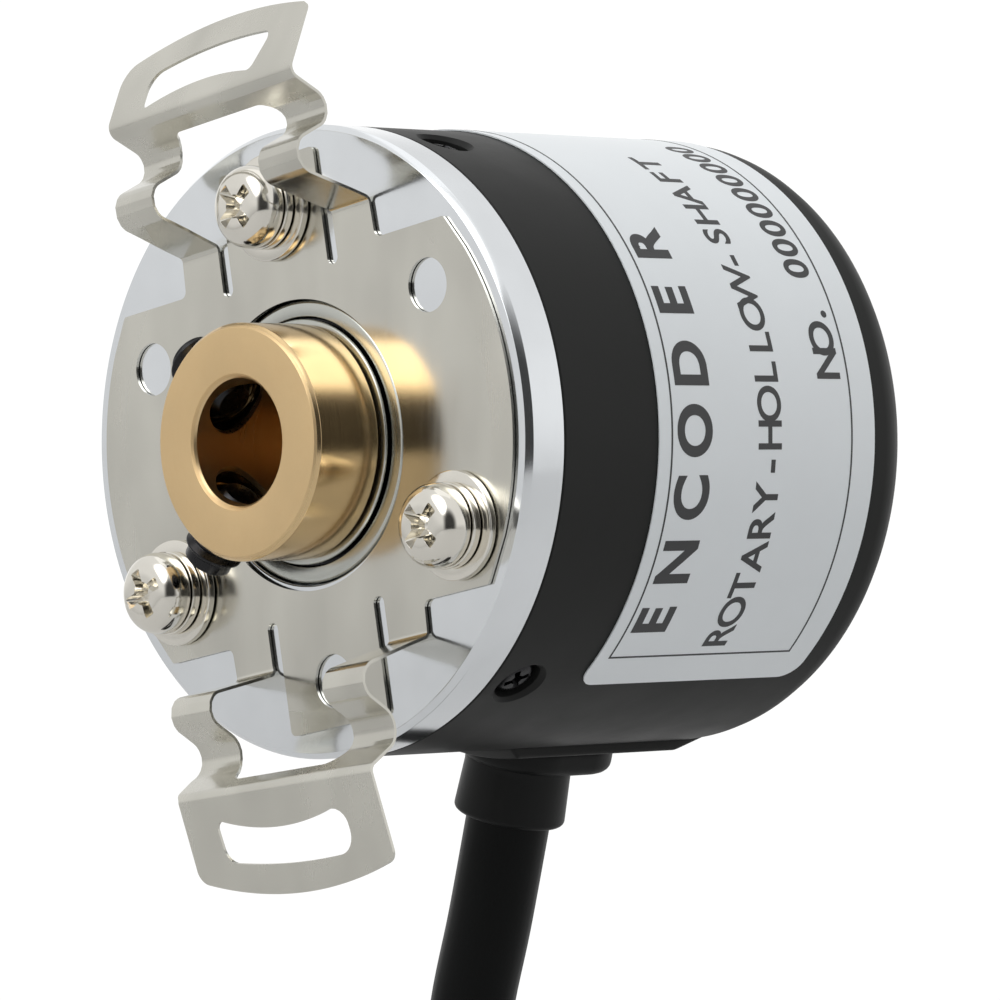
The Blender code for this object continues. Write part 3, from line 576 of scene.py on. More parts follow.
def make_materials():
    looks = {
        "aluminium": turned_metal("aluminium_turned", (0.84, 0.865, 0.89), 0.13, 9000.0),
        "brass": brass_metal("brass_turned", (0.77, 0.56, 0.305), 0.16),
        "bearing_steel": turned_metal("bearing_ground", (0.58, 0.59, 0.55), 0.24, 7000.0),
        "spring_steel": sheet_metal("spring_sheet", (0.66, 0.645, 0.585), 0.16),
        "nickel": plain_metal("nickel_plate", (0.83, 0.80, 0.73), 0.11),
        "black_steel": plain_metal("black_oxide", (0.035, 0.035, 0.037), 0.28),
        "black_cover": moulded("cover_black", (0.016, 0.0165, 0.016), 0.46, 5200.0, 4, 0.12, 0.16),
        "rubber": moulded("gland_rubber", (0.0065, 0.007, 0.007), 0.42, 3800.0, 6, 0.12, 0.18),
        "cable_jacket": moulded("cable_sheath", (0.0035, 0.004, 0.004), 0.36, 3000.0, 5, 0.12, 0.11),
        "label": moulded("label_film", (0.78, 0.815, 0.84), 0.34, 2500.0, 1, 0.015),
        "print": moulded("label_ink", (0.035, 0.036, 0.038), 0.45, 4000.0, 1),
        "disc_film": moulded("disc_film_dark", (0.08, 0.08, 0.085), 0.12, 900.0, 0.5),
        "board": moulded("board_green", (0.02, 0.15, 0.06), 0.35, 1500.0, 3),
        "chip": moulded("chip_epoxy", (0.022, 0.022, 0.023), 0.55, 5000.0, 3),
        "white_plastic": moulded("nylon_white", (0.74, 0.72, 0.66), 0.45, vary=0.03),
        "black_plastic": moulded("holder_black", (0.03, 0.03, 0.03), 0.5, 3500.0, 4),
        "lens": moulded("lens_clear", (0.82, 0.82, 0.86), 0.08, 900.0, 0.5, 0.02),
        "tie": moulded("tie_nylon", (0.016, 0.016, 0.016), 0.42, depth=4),
        "core_red": moulded("core_red_pvc", (0.45, 0.03, 0.025), 0.42),
        "core_black": moulded("core_black_pvc", (0.02, 0.02, 0.02), 0.42),
        "core_white": moulded("core_white_pvc", (0.72, 0.71, 0.68), 0.42, vary=0.03),
        "core_green": moulded("core_green_pvc", (0.04, 0.22, 0.07), 0.42),
        "tinned": plain_metal("tinned_copper", (0.72, 0.70, 0.66), 0.28),
    }
    return {key: look.material for key, look in looks.items()}


# Camera, lights and floor

def make_camera():
    camera = linked("camera", bpy.data.cameras.new("camera"))
    right = CAMERA_RIGHT.normalized()
    back = -CAMERA_FORWARD.normalized()
    up = back.cross(right)
    turn = Matrix((right, up, back)).transposed().to_4x4()
    camera.matrix_world = Matrix.Translation(CAMERA_PLACE) @ turn
    camera.data.lens = CAMERA_LENS
    camera.data.sensor_width = 36
    camera.data.clip_start = 0.01
    camera.data.clip_end = 20
    bpy.context.scene.camera = camera


def make_top_light():
    lamp = bpy.data.lights.new("top", "AREA")
    lamp.shape = "RECTANGLE"
    lamp.size = lamp.size_y = 0.7
    lamp.energy = TOP_POWER
    made = linked("top", lamp)
    made.visible_camera = False
    place = Vector((-0.1, 0.1, 0.9))
    made.matrix_world = Matrix.Translation(place) @ (-place).to_track_quat("-Z", "Y").to_matrix().to_4x4()


def make_world():
    """A bright tent: paper behind, walls that darken towards the ground, an open side to the front right."""
    world = bpy.data.worlds.new("studio")
    bpy.context.scene.world = world
    world.use_nodes = True
    tree = world.node_tree
    background = tree.nodes["Background"]
    direction = tree.nodes.new("ShaderNodeTexCoord").outputs["Generated"]

    def towards(axis, low, high):
        dot = tree.nodes.new("ShaderNodeVectorMath")
        dot.operation = "DOT_PRODUCT"
        tree.links.new(direction, dot.inputs[0])
        dot.inputs[1].default_value = Vector(axis).normalized()
        step = tree.nodes.new("ShaderNodeMapRange")
        step.interpolation_type = "SMOOTHSTEP"
        step.inputs["From Min"].default_value = low
        step.inputs["From Max"].default_value = high
        tree.links.new(dot.outputs["Value"], step.inputs["Value"])
        return step.outputs[0]

    def join(operation, a, b, c=None):
        node = tree.nodes.new("ShaderNodeMath")
        node.operation = operation
        for socket, value in zip(node.inputs, (a, b, c)):
            if isinstance(value, bpy.types.NodeSocket):
                tree.links.new(value, socket)
            elif value is not None:
                socket.default_value = value
        return node.outputs[0]

    walls = join("MULTIPLY_ADD", towards(*WALL_ZONE), WALL_GAIN, GROUND_LEVEL)
    walls = join("MULTIPLY_ADD", towards(*CEILING_ZONE), CEILING_GAIN, walls)
    paper = join("MULTIPLY", towards(*PAPER_ZONE), towards(*LOW_ZONE))
    bright = join("MULTIPLY_ADD", paper, join("SUBTRACT", PAPER_LEVEL, walls), walls)
    dimmed = join("MULTIPLY", bright, join("MULTIPLY_ADD", towards(*OPEN_ZONE), -OPEN_LOSS, 1.0))
    level = join("MULTIPLY_ADD", towards(*KEY_ZONE), KEY_GAIN, dimmed)
    tree.links.new(level, background.inputs["Strength"])
    background.inputs["Color"].default_value = (1.0, 1.0, 0.995, 1)


def make_stage():
    bm = bmesh.new()
    rim = [bm.verts.new((*polar(FLOOR_RADIUS, 5 * i), FLOOR_Z)) for i in range(72)]
    bm.faces.new(rim)
    mesh = bpy.data.meshes.new("floor")
    bm.to_mesh(mesh)
    bm.free()
    floor = linked("floor", mesh)
    look = moulded("floor_paper", (0.55, 0.55, 0.55), 0.7, 300.0, 10, 0.01)
    mesh.materials.append(look.material)
    make_top_light()
    bpy.context.scene.view_settings.view_transform = "Standard"


# Cable

def smooth_line(points, steps):
    """A smooth curve through the points, read at the given number of steps between them."""
    ends = [points[0] * 2 - points[1]] + list(points) + [points[-1] * 2 - points[-2]]
    line = []
    for before, a, b, after in zip(ends, ends[1:], ends[2:], ends[3:]):
        for step in range(steps):
            t = step / steps
            line.append(
                0.5 * (2 * a + (b - before) * t + (2 * before - 5 * a + 4 * b - after) * t * t
                       + (3 * a - before - 3 * b + after) * t ** 3)
            )
    return line + [points[-1]]


def ease(t):
    t = min(1, max(0, t))
    return t * t * (3 - 2 * t)


def coil_point(turn_angle):
    """The strand's centre after turn_angle degrees in the coil."""
    away, along = COIL_SLOTS[0]
    bulge = 0
    for number, (crossover, slot) in enumerate(zip(CROSSOVERS, COIL_SLOTS[1:])):
        t = (turn_angle - 360 * (number + 1) - crossover) / 44 + 0.5
        away += (slot[0] - COIL_SLOTS[number][0]) * ease(t)
        along += (slot[1] - COIL_SLOTS[number][1]) * ease(t)
        if 0 < t < 1:
            bulge = 0.8 * MM * math.sin(math.pi * t)
    reach = math.hypot(away, along)
    if bulge:
        away += bulge * away / reach
        along += bulge * along / reach
    x, z = polar(COIL_RADIUS + away, COIL_ENTRY_ANGLE - turn_angle)
    return COIL_CENTRE + Vector((x, along, z))


def cable_path():
    """Centre line of the whole cable, a point every few millimetres, and of the cores beyond its end."""
    start = Vector((*polar(GLAND_END - 1.2 * MM, CABLE_ANGLE), 0)).xzy + Vector((0, CABLE_Y, 0))
    free = [start] + [Vector((x * MM, CABLE_Y, z * MM)) for x, z in CABLE_ROUTE]
    landing = [coil_point(4 * i) for i in range(1, 4)]
    line = smooth_line(free + landing, 6)
    angle = 12
    length = sum((b - a).length for a, b in zip(line, line[1:]))
    cores = []
    while length < CABLE_LENGTH + CORE_LENGTH:
        angle += 4
        spot = coil_point(angle)
        length += (spot - line[-1]).length if not cores else (spot - cores[-1]).length
        if length < CABLE_LENGTH:
            line.append(spot)
        else:
            cores.append(spot)
    return line, cores


def tube(name, lines, radius, materials, resolution=8):
    """A curve with one open spline for each line of points."""
    curve = bpy.data.curves.new(name, "CURVE")
    curve.dimensions = "3D"
    curve.bevel_depth = radius
    curve.bevel_resolution = resolution
    curve.use_fill_caps = True
    for number, points in enumerate(lines):
        spline = curve.splines.new("POLY")
        spline.points.add(len(points) - 1)
        for spot, point in zip(spline.points, points):
            spot.co = (*point, 1)
        spline.use_smooth = True
        spline.material_index = number
    for material in materials:
        curve.materials.append(material)
    made = linked(name, curve)
    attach(made, "housing")
    return made


def make_tie(name, materials, degrees):
    """A nylon tie round the coil's bundle, with its head on the outside."""
    half_t, half_w, band = 5.65 * MM, 8.85 * MM, 0.9 * MM
    x, z = polar(COIL_RADIUS, degrees)
    c, s = polar(1, degrees)
    place = Matrix((
        (c, 0, -s, COIL_CENTRE.x + x),
        (0, 1, 0, CABLE_Y),
        (s, 0, c, COIL_CENTRE.z + z),
        (0, 0, 0, 1),
    ))
    inner = soften([(half_t, -half_w), (half_t, half_w), (-half_t, half_w), (-half_t, -half_w)], 3.4 * MM, 6)
    bm = bmesh.new()
    rows = []
    for grow, level in ((0, -1.2), (band, -1.2), (band, 1.2), (0, 1.2)):
        scale_t = (half_t + grow) / half_t
        scale_w = (half_w + grow) / half_w
        rows.append([bm.verts.new((a * scale_t, b * scale_w, level * MM)) for a, b in inner])
    for a, b in zip(rows, rows[1:] + rows[:1]):
        for i in range(len(inner)):
            j = (i + 1) % len(inner)
            bm.faces.new((a[i], a[j], b[j], b[i]))
    band_mesh = finished(bm, place)
    top = half_t + 3.2 * MM
    block = [(half_t, -3.2 * MM), (top, -3 * MM), (top, 1.4 * MM), (half_t, 1.6 * MM)]
    head = prism(soften(block, 0.5 * MM), -1.9 * MM, 1.9 * MM, place)
    mesh = edged(carved(band_mesh, [head], "UNION"), 0.15 * MM)
    return piece(name, mesh, materials["tie"])


def make_cable(materials):
    line, cores = cable_path()
    ties = [
        make_tie(name, materials, angle)
        for name, angle in zip(("coil_tie_upper", "coil_tie_lower"), TIE_ANGLES)
    ]
    colours = ("core_red", "core_black", "core_white", "core_green")
    core_lines = []
    for number in range(4):
        spread = []
        for i, spot in enumerate([line[-1]] + cores):
            out = (spot - COIL_CENTRE).normalized()
            gap = (0.75 + 0.05 * i) * MM
            a, b = polar(gap, 45 + 90 * number)
            spread.append(spot + out * a + Vector((0, b, 0)))
        core_lines.append(spread)
    insulation = tube("cable_cores", core_lines, CORE_RADIUS, [materials[c] for c in colours], 4)
    pins = bmesh.new()
    pin = in_mm((0, -0.2, 0), (0.38, -0.2, 0), (0.38, 3.4, 0.12), (0, 3.4, 0))
    for spread in core_lines:
        heading = (spread[-1] - spread[-2]).normalized()
        place = Matrix.Translation(spread[-1]) @ heading.to_track_quat("Z", "Y").to_matrix().to_4x4()
        pins.from_mesh(turned(soften(pin, 0), place, 16))
    wires = piece("core_tips", finished(pins), materials["tinned"])
    cable = tube("cable", [line], CABLE_RADIUS, [materials["cable_jacket"]])
    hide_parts("cable_lead", "cable_coil")


def rounded_end(holder):
    """The large soft edges of the cover's boss and of the gland's pad."""
    bevel(holder, 0.7 * MM, 5, 40)


def make_gland(materials):
    outline = [
        *in_mm((0, 20.8, 0), (3.6, 20.8, 0), (3.6, 22.1, 0), (3.58, 22.4, 0)),
        (3.76 * MM, GLAND_END, 0.75 * MM),
        (2.95 * MM, GLAND_END, 0.12 * MM),
        (2.95 * MM, GLAND_END - 0.9 * MM, 0),
        (0, GLAND_END - 0.9 * MM, 0),
    ]
    place = radial(CABLE_ANGLE, CABLE_Y)
    sleeve = turned(soften(outline, 0.2 * MM, 6), place, 96)
    front = [polar(PAD_HALF_WIDTH, angle) for angle in range(90, 271, 4)]
    rear = [(x + PAD_REACH, y) for x, y in (polar(PAD_HALF_WIDTH, angle) for angle in range(-90, 91, 4))]
    pad = baked(prism(front + rear, 20.1 * MM, 22.1 * MM, place), rounded_end)
    mesh = carved(pad, [sleeve], "UNION")
    piece("gland_moulded", mesh, materials["rubber"], replaces=["cable_gland"])


# Housing

def make_flange(materials):
    outline = [
        (9.05 * MM, 0, 0.12 * MM),
        (19.65 * MM, 0, 0.06 * MM),
        (BODY_RADIUS, 0.4 * MM, 0.06 * MM),
        (BODY_RADIUS, FLANGE_RIM, 0.08 * MM),
        (SPIGOT_RADIUS, FLANGE_RIM, 0),
        (SPIGOT_RADIUS, 7.4 * MM, 0),
        (17.1 * MM, 7.4 * MM, 0),
        (17.1 * MM, 8.9 * MM, 0),
        (SPIGOT_RADIUS, 8.9 * MM, 0),
        (SPIGOT_RADIUS, 10.2 * MM, 0.2 * MM),
        *in_mm((16.2, 10.2, 0.2), (16.2, 5, 0.3), (11, 5, 0.3), (11, 14.2, 0.2), (9.05, 14.2, 0.2)),
        *in_mm((9.05, 9.9, 0), (8, 9.9, 0), (8, 4.4, 0), (9.05, 4.4, 0)),
    ]
    tools = [rod(1.5 * MM, -1 * MM, 4.2 * MM, at_pattern(a)) for a in SCREW_ANGLES]
    tools += [rod(1.2 * MM, 15 * MM, 21 * MM, radial(a, COVER_SCREW_Y), 32) for a in COVER_SCREW_ANGLES]
    mesh = carved(turned(soften(outline, 0)), tools)
    piece("flange_turned", mesh, materials["aluminium"], replaces=["flange"])


def make_cover(materials):
    outline = [
        (BODY_RADIUS, COVER_START, 0.12 * MM),
        (BODY_RADIUS, 35.5 * MM, REAR_EDGE_RADIUS),
        *in_mm((8.4, 35.5, 0.2), (8, 35.1, 0.2), (6.3, 35.1, 0.2), (6.3, 34, 0), (8.5, 34, 0)),
        *in_mm((8.5, 31.6, 0.1), (9.8, 31.6, 0.1), (9.8, 34, 0), (17.4, 34, 1.2)),
        (COVER_BORE, 32.6 * MM, 0.5 * MM),
        (COVER_BORE, COVER_START, 0.1 * MM),
    ]
    boss = in_mm(
        (19.4, 16.4, 0), (20, 16.4, 0), (20.65, 17, 0.3),
        (20.65, 31.8, 1.5), (19.85, 34.7, 0.2), (19.4, 34.5, 0),
    )
    body = turned(soften(outline, 0.1 * MM, 8))
    sector = turned(soften(boss, 0.1 * MM, 4), spun(ALONG_SHAFT, -CABLE_ANGLE), 48, -20, 41)
    patch = baked(sector, rounded_end)
    lines = [radial(a, COVER_SCREW_Y) for a in COVER_SCREW_ANGLES]
    tools = [rod(4 * MM, 15 * MM, 24 * MM, radial(CABLE_ANGLE, CABLE_Y))]
    tools += [rod(1.6 * MM, 17 * MM, 22 * MM, line, 48, 0.18 * MM, 19.85 * MM) for line in lines]
    mesh = carved(carved(body, [patch], "UNION"), tools)
    piece("cover_moulded", mesh, materials["black_cover"], replaces=["rear_cover"])


# Sheet pieces: flat outlines that are bent

def arc(radius, start, end, steps, centre=(0, 0)):
    """Points on an arc, with angles from the first axis."""
    points = []
    for i in range(steps + 1):
        a, b = polar(radius, start + (end - start) * i / steps)
        points.append((centre[0] + a, centre[1] + b))
    return points


def bent_sheet(loops, lines, bend, thickness):
    """Fills the loops, creases the sheet along the lines, bends it point by point and thickens it."""
    bm = bmesh.new()
    for loop in loops:
        verts = [bm.verts.new((a, b, 0)) for a, b in loop]
        for one, two in zip(verts, verts[1:] + verts[:1]):
            bm.edges.new((one, two))
    bmesh.ops.triangle_fill(bm, use_beauty=True, edges=bm.edges)
    return bent_faces(bm, lines, bend, thickness)


def bent_faces(bm, lines, bend, thickness):
    for axis, value in lines:
        normal = (1, 0, 0) if axis == 0 else (0, 1, 0)
        bmesh.ops.bisect_plane(
            bm, geom=bm.verts[:] + bm.edges[:] + bm.faces[:],
            plane_co=tuple(value * n for n in normal), plane_no=normal, dist=0.000004,
        )
    for face in bm.faces:
        if face.normal.z < 0:
            face.normal_flip()
    for vert in bm.verts:
        vert.co = bend(vert.co.x, vert.co.y)
    mesh = bpy.data.meshes.new("sheet")
    bm.to_mesh(mesh)
    bm.free()

    def modify(holder):
        skin = holder.modifiers.new("Thickness", "SOLIDIFY")
        skin.thickness = thickness
        skin.offset = -1
        skin.use_even_offset = True
    return baked(mesh, modify)


def leg_depth(curve, u, w, side):
    """How far the sheet's front lies ahead of the flange."""
    reach = abs(w)
    for (w0, d0), (w1, d1) in zip(curve, curve[1:]):
        if reach <= w1:
            depth = d0 + (d1 - d0) * (reach - w0) / max(w1 - w0, 1e-9)
            break
    return depth + DEPTH_TILT[side] * u * ease((reach - TILT_START_W[side]) / (2.5 * MM))


def leg_curve(side):
    """The leg's side view with its bends rounded, as (w, depth)."""
    closed = in_mm(*LEG_PROFILE[side], (30, -20, 0), (0, -20, 0))
    return [(w, d) for w, d in soften(closed, 0, 9) if d > 0]


def bow(shape, start, end, steps):
    """Points, in metres, on the far side of a circle between two values of u, all in millimetres."""
    (u, w), radius = shape
    points = []
    for i in range(steps + 1):
        across = start + (end - start) * i / steps
        points.append((across * MM, (w + math.sqrt(radius ** 2 - (across - u) ** 2)) * MM))
    return points


def ear_side(side):
    """The outline of one ear, from the right shoulder round to the left one, for w > 0."""
    shoulder = math.asin(SHOULDER_W[side] / PLATE_RADIUS)
    left, right = EAR_SIDES[side]
    left_corner, right_corner = (r * MM for r in EAR_CORNERS[side])
    over = bow(EAR_ARC[side], right, left, 40)
    over[0] = (*over[0], right_corner)
    over[-1] = (*over[-1], left_corner)

    def edge(sign, ear):
        return [
            (sign * PLATE_RADIUS * math.cos(shoulder), SHOULDER_W[side], 0.25 * MM),
            (sign * (LEG_OUTER_U + 0.1 * MM), SHOULDER_W[side], 0.5 * MM),
            (sign * LEG_OUTER_U, 13.6 * MM, 0),
            (sign * LEG_OUTER_U, 20.4 * MM, 0),
            (ear * MM, CREASE_W, 0),
        ]
    return edge(1, right) + over + list(reversed(edge(-1, left)))


def leg_opening(side):
    """The opening between the two legs, round the tab, for w > 0."""
    right = [
        (TAB_U, TAB_END_W, 0.4 * MM),
        (TAB_U, SLIT_END_W[side], 0.42 * MM),
        (SLIT_U, SLIT_END_W[side], 0.42 * MM),
        (SLIT_U, 13.4 * MM, 0),
        (LEG_INNER_U, 14.6 * MM, 0),
        (LEG_INNER_U, BAR_W, 1.5 * MM),
    ]
    return right + [(-point[0], *point[1:]) for point in reversed(right)]


def slot(side):
    """The outline of the slot in one ear, for w > 0."""
    near, far = SLOT_NEAR_CORNERS[side], SLOT_FAR_CORNERS[side]
    inner = bow(SLOT_NEAR[side], near[1][0], near[0][0], 24)
    outer = bow(SLOT_FAR[side], far[0][0], far[1][0], 24)
    for loop, ends in ((inner, (near[1], near[0])), (outer, far)):
        loop[0] = (*loop[0], ends[0][1] * MM)
        loop[-1] = (*loop[-1], ends[1][1] * MM)
    return inner + outer


def make_spring_plate(materials):
    half = arc(PLATE_RADIUS, -30, 30, 40)[1:-1]
    bottom = [(point[0], -point[1], *point[2:]) for point in reversed(ear_side(-1))]
    outline = half + ear_side(1) + [(-u, -w) for u, w in half] + bottom
    loops = [soften(outline, 0, 6), arc(PLATE_HOLE, 0, 358, 179, (0, -HOLE_DROP))]
    for side in (1, -1):
        loops.append([(u, side * w) for u, w in soften(leg_opening(side), 0, 8)])
        loops.append([(u, side * w) for u, w in soften(slot(side), 0, 8)])
    for degrees in SCREW_ANGLES + FREE_HOLE_ANGLES:
        u, w = polar(PATTERN_RADIUS, degrees - PATTERN_ANGLE + 90)
        drop = HOLE_DROP if degrees in FREE_HOLE_ANGLES else 0
        loops.append(arc(SCREW_HOLE, 0, 352, 44, (u, w - drop)))

    curves = {side: leg_curve(side) for side in (1, -1)}
    lines = []
    for side in (1, -1):
        rows = {w for w, _ in curves[side][1:-1]} | {step * 0.3 * MM for step in range(44, 74)}
        lines += [(1, side * w) for w in sorted(rows)]

    def bend(u, w):
        side = 1 if w > 0 else -1
        reach = abs(w)
        on_tab = abs(u) < (SLIT_U + TAB_U) / 2 and reach < TAB_END_W + 0.3 * MM
        depth = leg_depth(curves[side], u, 0 if on_tab else reach, side)
        if not on_tab:
            w += side * BEND_SKEW[side] * u * ease((reach - SKEW_START_W) / (1.5 * MM))
        x, z = polar(w, PATTERN_ANGLE)
        across, down = polar(u, PATTERN_ANGLE - 90)
        return Vector((x + across, -depth, z + down))

    mesh = edged(bent_sheet(loops, lines, bend, SHEET), 0.025 * MM, 55)
    piece("spring_plate_bent", mesh, materials["spring_steel"], replaces=["spring_plate"],
          angle=45)


def on_label(lift):
    """A bend that lays (arc length, distance from the front edge) on the cover."""
    radius = LABEL_RADIUS + lift

    def bend(along, across):
        angle = along / LABEL_RADIUS
        y = LABEL_FRONT + LABEL_SKEW * angle + across
        return Vector((radius * math.cos(angle), y, radius * math.sin(angle)))
    return bend


def label_patch(start, end, near, far, corner=0.0):
    """A rectangle on the label from angle start to end and from near to far behind its front edge."""
    low, high = (LABEL_RADIUS * math.radians(a) for a in (start, end))
    return soften([(low, near), (high, near), (high, far), (low, far)], corner, 6)


def lettering(text, start, front, back, pitch, weight):
    """Generic words on the label, read upwards from angle start, their feet at back and heads at front."""
    height = back - front
    meshes = []
    for number, letter in enumerate(text):
        if letter == " ":
            continue
        curve = bpy.data.curves.new("letter", "FONT")
        curve.body = letter
        curve.align_x = "CENTER"
        curve.size = height / LETTER_HEIGHT
        curve.offset = weight
        holder = linked("letter", curve)
        bpy.context.view_layer.update()
        graph = bpy.context.evaluated_depsgraph_get()
        flat = bpy.data.meshes.new_from_object(holder.evaluated_get(graph))
        bpy.data.objects.remove(holder)
        middle = LABEL_RADIUS * math.radians(start) + pitch * (number + 0.5)
        for vert in flat.vertices:
            vert.co = (middle + vert.co.x, back - vert.co.y, 0)
        meshes.append(flat)
    return meshes


def laid_on(flat, lines, bend, thickness):
    """A flat mesh creased along the lines, laid on a surface by bend and thickened."""
    bm = bmesh.new()
    bm.from_mesh(flat)
    return bent_faces(bm, lines, bend, thickness)


def make_label(materials):
    low, high = LABEL_ANGLES
    lines = [(0, LABEL_RADIUS * math.radians(2 * i)) for i in range(math.ceil(low / 2), int(high / 2) + 1)]
    loops = [label_patch(low, high, 0, LABEL_WIDTH, 1.4 * MM)]
    film = bent_sheet(loops, lines, on_label(FILM_LIFT), -0.09 * MM)
    piece("label_sheet", film, materials["label"], replaces=["label"])

    near, far = FRAME_EDGES
    low, high = low + FRAME_INSET, high - FRAME_INSET
    turn = math.degrees(FRAME_LINE / LABEL_RADIUS)
    border = [
        label_patch(low, high, near, far),
        label_patch(low + turn, high - turn, near + FRAME_LINE, far - FRAME_LINE),
    ]
    ink = [bent_sheet(border, lines, on_label(INK_LIFT), -0.03 * MM)]
    for words in LABEL_WORDS:
        for flat in lettering(*words):
            ink.append(laid_on(flat, lines, on_label(INK_LIFT), -0.03 * MM))
    bm = bmesh.new()
    for mesh in ink:
        bm.from_mesh(mesh)
    piece("label_marks", finished(bm), materials["print"])


# Fasteners

def cross_outline(arm, half, flare):
    """The plus-shaped outline of a cross recess, its arms widening outwards by flare."""
    points = []
    for turn in range(4):
        c, s = round(math.cos(turn * math.pi / 2)), round(math.sin(turn * math.pi / 2))
        for x, y in ((arm, -half - flare), (arm, half + flare), (half * 1.6, half), (half, half * 1.6)):
            points.append((x * c - y * s, x * s + y * c))
    return points


def cross_screw(name, material, place, head, shank, arm, node):
    """head is (radius, base, top), shank (radius, end), arm the recess's reach; heights are local Z."""
    radius, base, top = head
    side = 1 if top > base else -1
    height = abs(top - base)
    outline = [
        (0, shank[1], 0),
        (shank[0], shank[1], 0.1 * MM),
        (shank[0], base, 0),
        (radius * 0.97, base, 0.08 * MM),
        (radius, base + side * 0.08 * height, 0),
    ]
    for step in range(25):
        across, along = polar(1, 90 * step / 24)
        dome = base + side * height * (0.3 + 0.7 * along)
        outline.append((radius * (0.42 + 0.58 * across ** 0.8), dome, 0))
    outline.append((0, top, 0))
    mesh = turned(soften(outline, 0, 5), place, 96)
    floor = top - side * RECESS_DEPTH * height
    mouth = top + side * 0.12 * height
    cross = prism(soften(cross_outline(arm, 0.2 * arm, 0.06 * arm), 0.07 * arm, 2), floor, mouth, place, 0.62)
    tip = floor - side * 0.12 * height
    cone = turned([(0, tip), (0.3 * arm, floor), (0.46 * arm, mouth), (0, mouth)], place, 32)
    mesh = edged(carved(mesh, [cross, cone]), 0.035 * arm, 35)
    piece(name, mesh, material, replaces=[node])


def make_plate_screws(materials):
    nickel = materials["nickel"]
    flat = ring_section(1.6, 3.4, -0.37, -0.88, 0.08)
    split = ring_section(1.55, 2.68, -0.95, -1.55, 0.07)
    for number, degrees in enumerate(SCREW_ANGLES, 1):
        cross_screw(
            f"pan_screw_{number}", nickel, spun(at_pattern(degrees), SCREW_TURNS[number - 1]),
            (2.62 * MM, -1.7 * MM, -3.62 * MM), (1.42 * MM, 3.9 * MM), 1.75 * MM,
            f"plate_screw_{number}",
        )
        piece(f"flat_ring_{number}", turned(flat, at_pattern(degrees), 128), nickel,
              replaces=[f"flat_washer_{number}"])
        mesh = turned(split, spun(at_pattern(degrees), -95), 96, 4, 350, -0.14 * MM)
        piece(f"spring_ring_{number}", mesh, nickel, replaces=[f"split_washer_{number}"])


def make_cover_screws(materials):
    for number, degrees in enumerate(COVER_SCREW_ANGLES, 1):
        cross_screw(
            f"side_screw_{number}", materials["black_steel"], spun(radial(degrees, COVER_SCREW_Y), 30),
            (1.5 * MM, 18.5 * MM, 19.6 * MM), (0.9 * MM, 16.5 * MM), 0.95 * MM,
            f"cover_screw_{number}",
        )


def make_set_screws(materials):
    inner = SHAFT_BORE + 0.15 * MM
    root = SET_SCREW_RADIUS - 0.36 * MM
    for name, degrees, outer in zip(("a", "b"), SET_SCREW_ANGLES, SET_SCREW_ENDS):
        outline = [(0, inner, 0), (1.1 * MM, inner, 0.1 * MM)]
        height = inner + 0.55 * MM
        while height < outer - 0.8 * MM:
            outline += [
                (root, height, 0.05 * MM),
                (SET_SCREW_RADIUS, height + 0.29 * MM, 0.05 * MM),
                (SET_SCREW_RADIUS, height + 0.41 * MM, 0.05 * MM),
            ]
            height += THREAD_PITCH
        outline += [
            (root, height, 0),
            (root, outer - 0.15 * MM, 0.12 * MM),
            (SET_SCREW_RADIUS - 0.6 * MM, outer, 0.1 * MM),
            (0, outer, 0),
        ]
        place = radial(degrees, SET_SCREW_Y)
        mesh = turned(soften(outline, 0, 2), place, 80)
        hexagon = [polar(1.12 * MM, 60 * i) for i in range(6)]
        socket = prism(hexagon, outer - 1.8 * MM, outer + 1 * MM, place)
        piece(f"grub_{name}", edged(carved(mesh, [socket]), 0.04 * MM), materials["black_steel"],
              f"set_screw_{name}", [f"set_screw_{name}"])


# Shaft and bearings

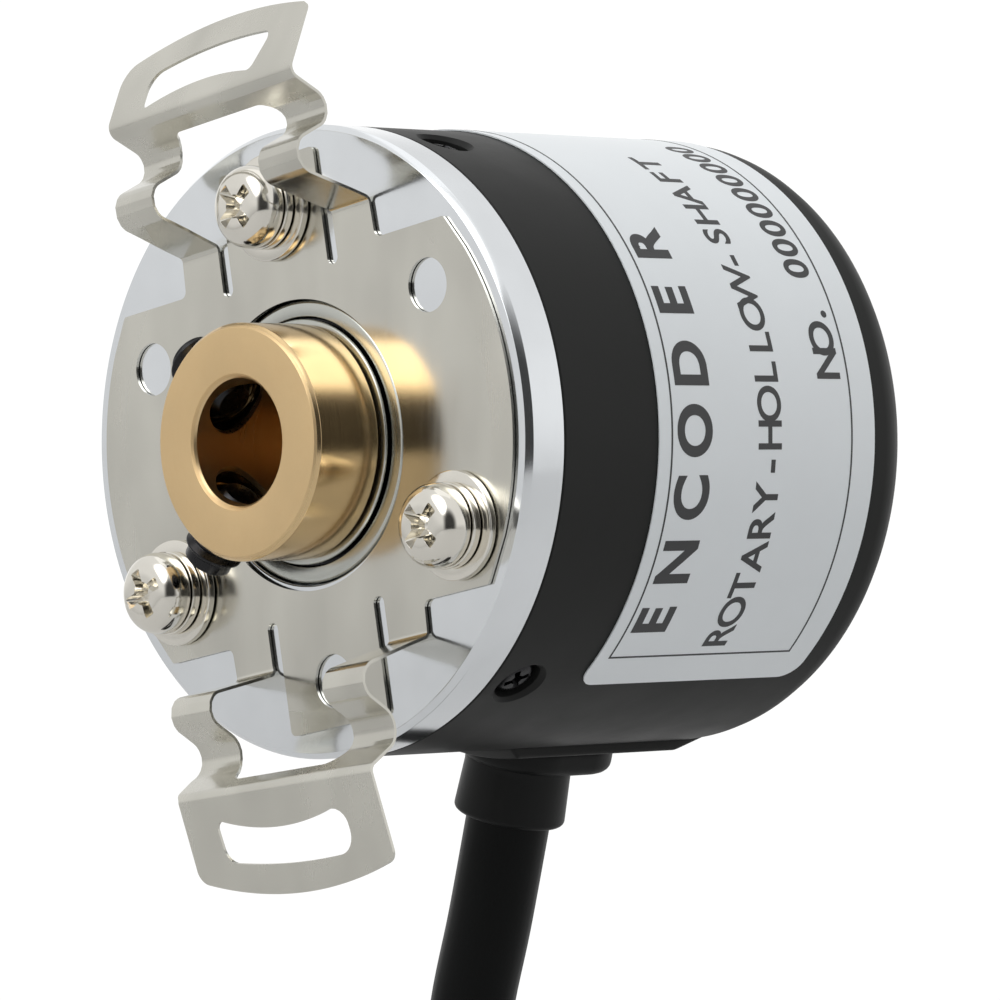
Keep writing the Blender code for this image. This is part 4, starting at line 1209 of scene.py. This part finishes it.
def make_hub(materials):
    outline = [
        (4.28 * MM, HUB_FRONT, 0.04 * MM),
        (HUB_RADIUS - 0.3 * MM, HUB_FRONT, 0.05 * MM),
        (HUB_RADIUS, -5.5 * MM, 0.08 * MM),
        (HUB_RADIUS, HUB_BACK, 0.2 * MM),
        (SHAFT_RADIUS, HUB_BACK, 0),
        (SHAFT_RADIUS, 14.1 * MM, 0),
        (5.4 * MM, 14.1 * MM, 0),
        (5.4 * MM, 15 * MM, 0),
        (SHAFT_RADIUS, 15 * MM, 0),
        (SHAFT_RADIUS, SHAFT_END, 0.3 * MM),
        (SHAFT_BORE, SHAFT_END, 0.3 * MM),
        (SHAFT_BORE, -5.57 * MM, 0.04 * MM),
    ]
    crest = SET_SCREW_RADIUS + 0.08 * MM
    thread = [(0, 2 * MM), (crest, 2 * MM)]
    height = 4.6 * MM
    while height < 8.6 * MM:
        thread += [(crest, height), (crest + 0.2 * MM, height + 0.5 * THREAD_PITCH)]
        height += THREAD_PITCH
    thread += [(crest, height), (0, height)]
    tools = [turned(thread, radial(degrees, SET_SCREW_Y), 72) for degrees in SET_SCREW_ANGLES]
    mesh = carved(turned(soften(outline, 0)), tools)
    piece("hub_turned", mesh, materials["brass"], "shaft", ["hollow_shaft"])
    ring = turned(ring_section(6.05, 7.74, -0.32, -0.06, 0.12))
    piece("thrust_ring_ground", ring, materials["bearing_steel"], "shaft", ["thrust_ring"])


def make_bearing_faces(materials):
    """The outer races and shields of both bearings, whose front faces lie at these Y, in millimetres."""
    for end, low in (("front", 0.02), ("rear", 10.02)):
        high = low + 3.92
        race = in_mm((7.88, low, 0.08), (8.95, low, 0.28), (8.95, high, 0.28), (7.88, high, 0.08))
        piece(f"{end}_outer_race", turned(soften(race, 0)), materials["bearing_steel"],
              replaces=[f"{end}_bearing_outer"])
        middle = low + 0.35 if end == "front" else high - 0.35
        shield = ring_section(6.98, 7.84, middle - 0.1, middle + 0.1, 0.06)
        piece(f"{end}_shield_pressed", turned(shield), materials["black_steel"],
              replaces=[f"{end}_bearing_shield"])


def dress_cad_nodes(materials):
    """Gives each carried-over CAD node the procedural material of its slot."""
    slots = {entry["node"]: entry["material_slot"] for entry in frame["record"]["subparts"]}
    for name, node in frame["nodes"].items():
        node.data.materials.clear()
        node.data.materials.append(materials[slots[name]])


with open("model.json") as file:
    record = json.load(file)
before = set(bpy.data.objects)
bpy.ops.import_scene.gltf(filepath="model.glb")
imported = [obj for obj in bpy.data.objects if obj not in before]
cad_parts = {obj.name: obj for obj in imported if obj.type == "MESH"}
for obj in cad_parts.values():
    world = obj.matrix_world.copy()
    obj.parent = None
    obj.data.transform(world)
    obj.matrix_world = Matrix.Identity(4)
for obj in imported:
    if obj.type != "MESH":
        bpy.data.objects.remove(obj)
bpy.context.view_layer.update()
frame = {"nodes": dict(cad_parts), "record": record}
looks = make_materials()
make_camera()
make_cable(looks)
make_world()
make_stage()
for make in (
    make_gland, make_flange, make_cover, make_spring_plate, make_label, make_plate_screws,
    make_cover_screws, make_hub, make_set_screws, make_bearing_faces, dress_cad_nodes,
):
    make(looks)
